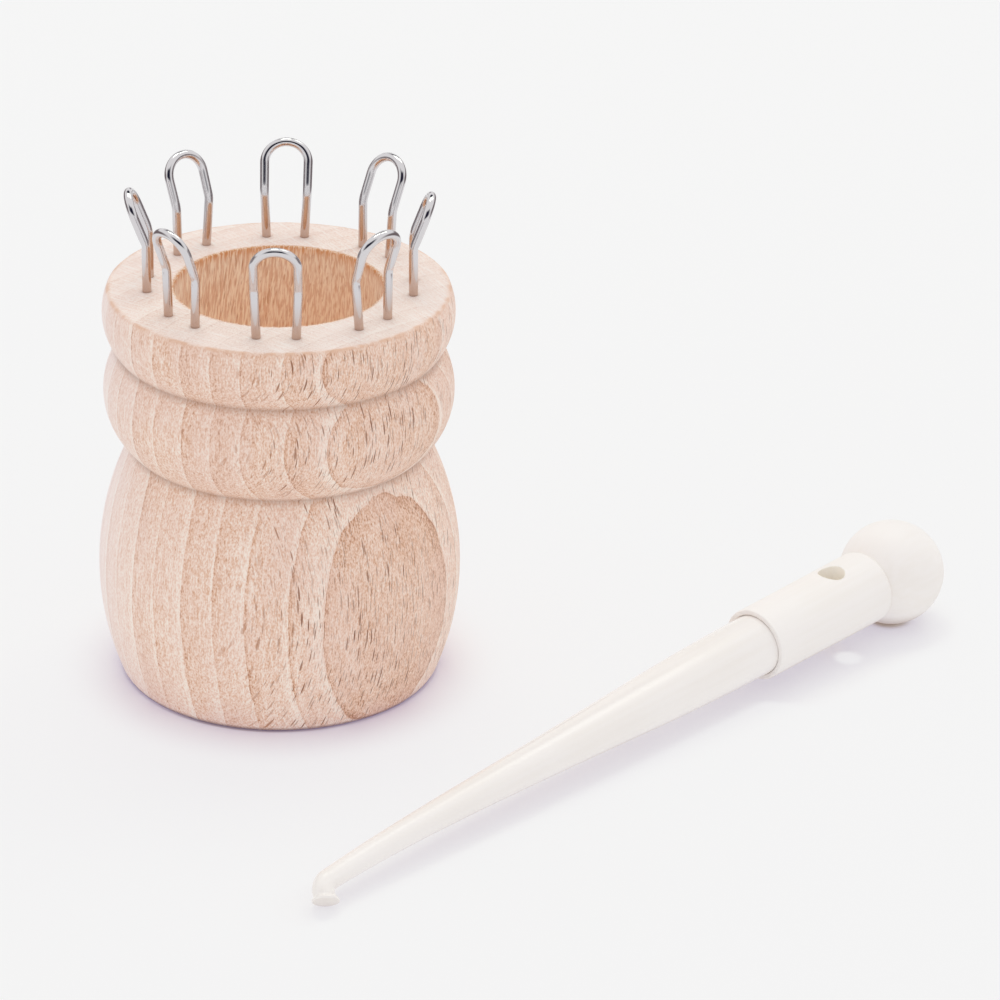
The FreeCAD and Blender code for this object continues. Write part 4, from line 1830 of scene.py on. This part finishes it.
@dataclass(frozen=True)
class Card:
    """A dark curved card, a piece of a sphere about the origin.

    Attributes:
        name: Its name.
        heading: Direction of its middle, degrees from +X.
        spread: How far it reaches to either side, degrees.
        low: Its lower edge, degrees above the table.
        high: Its upper edge.
        radius: Its distance.
        colour: Its colour.
        side_fade: Share of its half width over which it fades in from either side.
        level_fade: Share of its half height over which it fades in from below and above.
        rows: Rows of its mesh.
        columns: Columns of its mesh.
    """

    name: str
    heading: float
    spread: float
    low: float
    high: float
    radius: float
    colour: Colour
    side_fade: float = 0.6
    level_fade: float = 0.5
    rows: int = 24
    columns: int = 60

    def build(self, backdrop: Colour) -> bpy.types.Object:
        """Make the card, which shows only in the plating and other gloss.

        Args:
            backdrop: Colour that it fades into at its edges.

        Returns:
            The object.
        """
        aside = np.linspace(-1, 1, self.columns)
        upward = np.linspace(-1, 1, self.rows)[:, None]
        angle = np.radians(self.heading + self.spread * aside)
        level = np.radians((self.low + self.high) / 2 + (self.high - self.low) / 2 * upward)
        points = self.radius * np.stack(np.broadcast_arrays(
            np.cos(level) * np.cos(angle), np.cos(level) * np.sin(angle), np.sin(level)), axis=-1)
        faces = grid_quads(self.rows, self.columns, closed_rows=False)
        wrapped = faces[:, 1] < faces[:, 0]
        piece = write_mesh(self.name, points.reshape(-1, 3), [faces[~wrapped]])
        fade = (smooth_step(1 - np.abs(aside), 0, self.side_fade)
                * smooth_step(1 - np.abs(upward), 0, self.level_fade))
        paint(piece, dark=fade)
        material, shader = new_material(self.name)
        colour = shader.mix(shader.mask("dark"), backdrop, self.colour)
        shader.close(shader.add("Emission", {"Color": colour, "Strength": 1.0}))
        piece.data.materials.append(material)
        piece.visible_camera = piece.visible_diffuse = piece.visible_shadow = False
        piece.visible_transmission = piece.visible_volume_scatter = False
        return piece


@dataclass
class Stage:
    """Pale table, soft lights, and the dark room that only shows in the plating.

    The table glows by as much as its matt share leaves out, so in full light it is even, and its
    shadows are as deep as the matt share lets them be: deep at the pieces and faint further out.
    """

    spool: SpoolBody
    tool: HookTool

    # The table's tone, and its matt share far off, at the spool's foot and along the tool.
    table_size: float = 6000.0
    table_tone: float = 0.9131
    matt_colour: Colour = (0.90, 0.925, 0.75)
    matt_far: float = 0.30
    matt_at_spool: float = 0.96
    matt_at_handle: float = 0.66
    matt_at_shaft: float = 0.59
    matt_at_tip: float = 0.50
    spool_reach: float = 13.0
    handle_reach: float = 13.0
    shaft_reach: float = 5.2
    reach_change: float = 4.0
    share_change: float = 20.0
    tip_begins: float = 90.0
    reach_edge: Fade = Fade(-1.6, 1.4)

    # The round that the ball rests on, the painted light of the patch under the cross hole, and the
    # painted shadow in the crevice.
    touch_edge: Fade = Fade(3.2, 5.0, 1.0, 0.0)
    touch_share: float = 1.0
    touch_colour: Colour = (0.84, 0.875, 0.90)
    beam_place: Triple = (105.3, 0.9, 0.0)
    beam_edge: Fade = Fade(1.62, 3.24, 0.45, 1.0)
    crevice_shadow_paint: Colour = linear(150, 118, 96)
    crevice_edge: Fade = Fade(0.1, 0.65, 1.0, 0.0)
    crevice_left: Fade = Fade(-24.0, -12.0, 0.12, 0.5)
    crevice_right: Fade = Fade(-6.0, 24.0, 1.0, 0.3)

    # Light from all round, two soft lamps and the light within the bore.
    sky_light: Colour = (0.856, 0.846, 0.862)
    sky_seen: Colour = linear(245, 245, 245)
    lamp_colour: Colour = (1.0, 1.06, 0.95)
    lamp_size: float = 0.7
    lamp_distance: float = 1.9
    key_power: float = 3.5
    key_direction: Triple = (-0.05, 0.37, 0.93)
    side_power: float = 2.5
    side_direction: Triple = (0.381, 0.46, 0.802)
    bore_power: float = 0.0026
    bore_colour: Colour = (1.0, 0.78, 0.62)
    bore_lamp_radius: float = 6.0
    bore_lamp_height: float = 58.0
    cards: tuple[Card, ...] = (
        Card("front_card", -92.0, 62.0, 12.0, 58.0, 2600.0, (0.015, 0.015, 0.035)),
        Card("back_card", 88.0, 44.0, 34.0, 62.0, 2600.0, (0.03, 0.03, 0.05)),
        Card("low_card", 88.0, 70.0, 2.0, 17.0, 2600.0, (0.30, 0.27, 0.29)),
        Card("right_wall", 24.0, 58.0, 4.0, 44.0, 200.0, (0.20, 0.165, 0.17)),
        Card("left_wall", 156.0, 58.0, 4.0, 44.0, 200.0, (0.20, 0.165, 0.17)),
    )

    @property
    def ball_place(self) -> Triple:
        """Where the ball rests."""
        return (self.tool.ball_x, self.tool.ball_y, 0.0)

    def tool_share(self, shader: Shader, place: Socket) -> Socket:
        """Matt share about the tool.

        Args:
            shader: Shader to add nodes to.
            place: Place on the table, millimetres.

        Returns:
            A smooth fall with the distance from the line under the tool, wider at the handle
            and weaker towards the tip.
        """
        tool = self.tool
        heading = math.radians(tool.heading)
        along = (math.cos(heading), math.sin(heading), 0.0)
        from_ball = shader.vector("SUBTRACT", place, self.ball_place)
        station = shader.vector("DOT_PRODUCT", from_ball, along)
        held = shader.add("Clamp", {0: station, 1: 0.0, 2: tool.shaft_reach}).outputs[0]
        direction = shader.add("CombineXYZ", dict(enumerate(along))).outputs[0]
        nearest = shader.scaled(direction, held)
        off_line = shader.vector("LENGTH", shader.vector("SUBTRACT", from_ball, nearest))
        end = tool.sleeve_length
        reach = shader.step(station, Fade(end - self.reach_change, end + self.reach_change,
                                          self.handle_reach, self.shaft_reach))
        at_shaft = shader.step(station, Fade(end, end + self.share_change,
                                             self.matt_at_handle, self.matt_at_shaft))
        at_tip = shader.step(station, Fade(self.tip_begins, tool.shaft_reach,
                                           self.matt_at_handle, self.matt_at_tip))
        over = shader.math("SUBTRACT", off_line, reach)
        fall = shader.step(over, self.reach_edge)
        at_tool = shader.math("MINIMUM", at_shaft, at_tip)
        outside = shader.math("SUBTRACT", self.matt_far, at_tool)
        return shader.plus(at_tool, outside, fall)

    def matt_share(self, shader: Shader, place: Socket, touch: Socket) -> Socket:
        """How much of the table's tone is lit and shadowed paint.

        Args:
            shader: Shader to add nodes to.
            place: Place on the table, millimetres.
            touch: 1 where the ball rests.

        Returns:
            The greater of two smooth falls, with the distance from the spool's foot and from
            the line under the tool, all of it where the ball rests, and less in a round patch
            of painted light where light through the cross hole falls.
        """
        off_foot = self.off_foot(shader, place)
        at_spool = shader.step(off_foot, Fade(0.0, self.spool_reach,
                                              self.matt_at_spool, self.matt_far))
        share = shader.math("MAXIMUM", at_spool, self.tool_share(shader, place))
        share = shader.mix(touch, share, (self.touch_share,) * 3)
        # Painted light: a round patch under the cross hole where the shadow is fainter.
        off_beam = shader.vector("LENGTH", shader.vector("SUBTRACT", place, self.beam_place))
        return shader.times(share, shader.step(off_beam, self.beam_edge))

    def off_foot(self, shader: Shader, place: Socket) -> Socket:
        """Distance outward from the spool's foot."""
        return shader.math("SUBTRACT", shader.vector("LENGTH", place), self.spool.base_radius)

    def crevice(self, shader: Shader, place: Socket) -> Socket:
        """Painted shadow: a thin dark line round the spool's foot, where hardly any light gets in.

        Args:
            shader: Shader to add nodes to.
            place: Place on the table, millimetres.

        Returns:
            0 on the open table and up to 0.5 in the crevice, less towards either side.
        """
        side = shader.parts(place)[0]
        line = shader.step(self.off_foot(shader, place), self.crevice_edge)
        for fade in (self.crevice_left, self.crevice_right):
            line = shader.times(line, shader.step(side, fade))
        return line

    def table(self) -> bpy.types.Object:
        """Make the large pale plane at the object's foot.

        Returns:
            The object.  Its paint is the matt colour times the matt share, and it glows by the
            table's tone less that paint.
        """
        half = self.table_size / 2
        corners = np.array([[-half, -half, 0.0], [half, -half, 0.0],
                            [half, half, 0.0], [-half, half, 0.0]])
        table = write_mesh("table", corners, [np.arange(4)[None, :]])
        material, shader = new_material("pale_table")
        place = shader.scaled(shader.place(), 1 / MM)
        off_ball = shader.vector("LENGTH", shader.vector("SUBTRACT", place, self.ball_place))
        touch = shader.step(off_ball, self.touch_edge)
        hue = shader.mix(touch, self.matt_colour, self.touch_colour)
        matt_paint = shader.scaled(hue, self.matt_share(shader, place, touch))
        glow_colour = shader.vector("SUBTRACT", (self.table_tone,) * 3, matt_paint)
        # Painted shadow in the crevice round the spool's foot.
        crevice = self.crevice(shader, place)
        painted = shader.mix(crevice, matt_paint, self.crevice_shadow_paint)
        matt = shader.add("BsdfDiffuse", {"Color": painted})
        open_share = shader.math("SUBTRACT", 1.0, crevice)
        glow = shader.add("Emission", {"Color": glow_colour, "Strength": open_share})
        shader.close(shader.add("AddShader", {0: matt.outputs[0], 1: glow.outputs[0]}))
        table.data.materials.append(material)
        return table

    def sky(self) -> None:
        """Even light from all round; the camera and the gloss see it as the pale backdrop."""
        world = bpy.data.worlds.new("studio")
        world.use_nodes = True
        bpy.context.scene.world = world
        shader = Shader(world.node_tree)
        lit = shader.add("Background", {"Color": (*self.sky_light, 1.0), "Strength": 1.0})
        seen = shader.add("Background", {"Color": (*self.sky_seen, 1.0), "Strength": 1.0})
        rays = shader.add("LightPath").outputs
        direct = shader.math("MAXIMUM", rays["Is Camera Ray"], rays["Is Glossy Ray"])
        direct = shader.math("MAXIMUM", direct, rays["Is Transmission Ray"])
        mixed = shader.add("MixShader", {0: direct, 1: lit.outputs[0], 2: seen.outputs[0]})
        shader.close(mixed, "OutputWorld")

    def lamp(self, name: str, power: float, toward: Triple) -> bpy.types.Object:
        """Hang a square soft lamp.

        Args:
            name: Its name.
            power: Its power, watts.
            toward: Direction from the spool to it.

        Returns:
            The lamp, facing the spool.
        """
        lamp = bpy.data.lights.new(name, "AREA")
        lamp.energy = power
        lamp.color = self.lamp_colour
        lamp.shape = "SQUARE"
        lamp.size = self.lamp_size
        light = into_scene(name, lamp)
        direction = Vector(toward).normalized()
        light.location = direction * self.lamp_distance
        light.rotation_euler = direction.to_track_quat("Z", "Y").to_euler()
        return light

    def bore_fill(self) -> bpy.types.Object:
        """Hang a faint warm lamp in the bore, for the light that goes from wall to wall.

        Returns:
            The lamp, which neither the gloss nor the camera sees.
        """
        lamp = bpy.data.lights.new("bore_fill", "POINT")
        lamp.energy = self.bore_power
        lamp.color = self.bore_colour
        lamp.shadow_soft_size = self.bore_lamp_radius * MM
        light = into_scene("bore_fill", lamp)
        light.location = (0.0, 0.0, self.bore_lamp_height * MM)
        light.visible_glossy = False
        light.visible_camera = False
        return light

    def build(self) -> None:
        """Set the whole stage."""
        self.table()
        self.sky()
        self.lamp("key", self.key_power, self.key_direction)
        self.lamp("side", self.side_power, self.side_direction)
        self.bore_fill()
        for card in self.cards:
            card.build(self.sky_seen)
        bpy.context.scene.view_settings.view_transform = "Standard"


@dataclass
class Viewpoint:
    """The camera: it looks down at the spool from the front, through a long lens."""

    aim: Triple = (39.95, 0.0, 32.32)
    distance: float = 726.7
    heading: float = 1.78
    elevation: float = 25.565
    roll: float = 1.28
    lens: float = 144.0
    sensor: float = 36.0
    nearest: float = 10.0
    farthest: float = 50000.0

    def build(self) -> bpy.types.Object:
        """Make the camera and give it to the scene.

        Returns:
            The camera: turned about its own axis, raised and swung round the aim.
        """
        lens = bpy.data.cameras.new("camera")
        lens.lens = self.lens
        lens.sensor_width = self.sensor
        lens.clip_start, lens.clip_end = self.nearest * MM, self.farthest * MM
        camera = into_scene("camera", lens)
        turn = (Matrix.Rotation(-math.radians(self.heading), 4, "Z")
                @ Matrix.Rotation(math.radians(90 - self.elevation), 4, "X")
                @ Matrix.Rotation(math.radians(self.roll), 4, "Z"))
        back = turn.to_3x3() @ Vector((0.0, 0.0, 1.0))
        place = (Vector(self.aim) + back * self.distance) * MM
        camera.matrix_world = Matrix.Translation(place) @ turn
        bpy.context.scene.camera = camera
        return camera


def main() -> None:
    """Set the view and the stage, then make every piece."""
    logging.basicConfig(level=logging.INFO, format="%(name)s: %(message)s")
    Viewpoint().build()
    spool, loops, tool = SpoolBody(), WireLoops(), HookTool()
    Stage(spool, tool).build()
    spool.build(loops.legs())
    loops.build()
    tool.build_handle()
    tool.build_shaft()


if __name__ == "__main__":
    main()
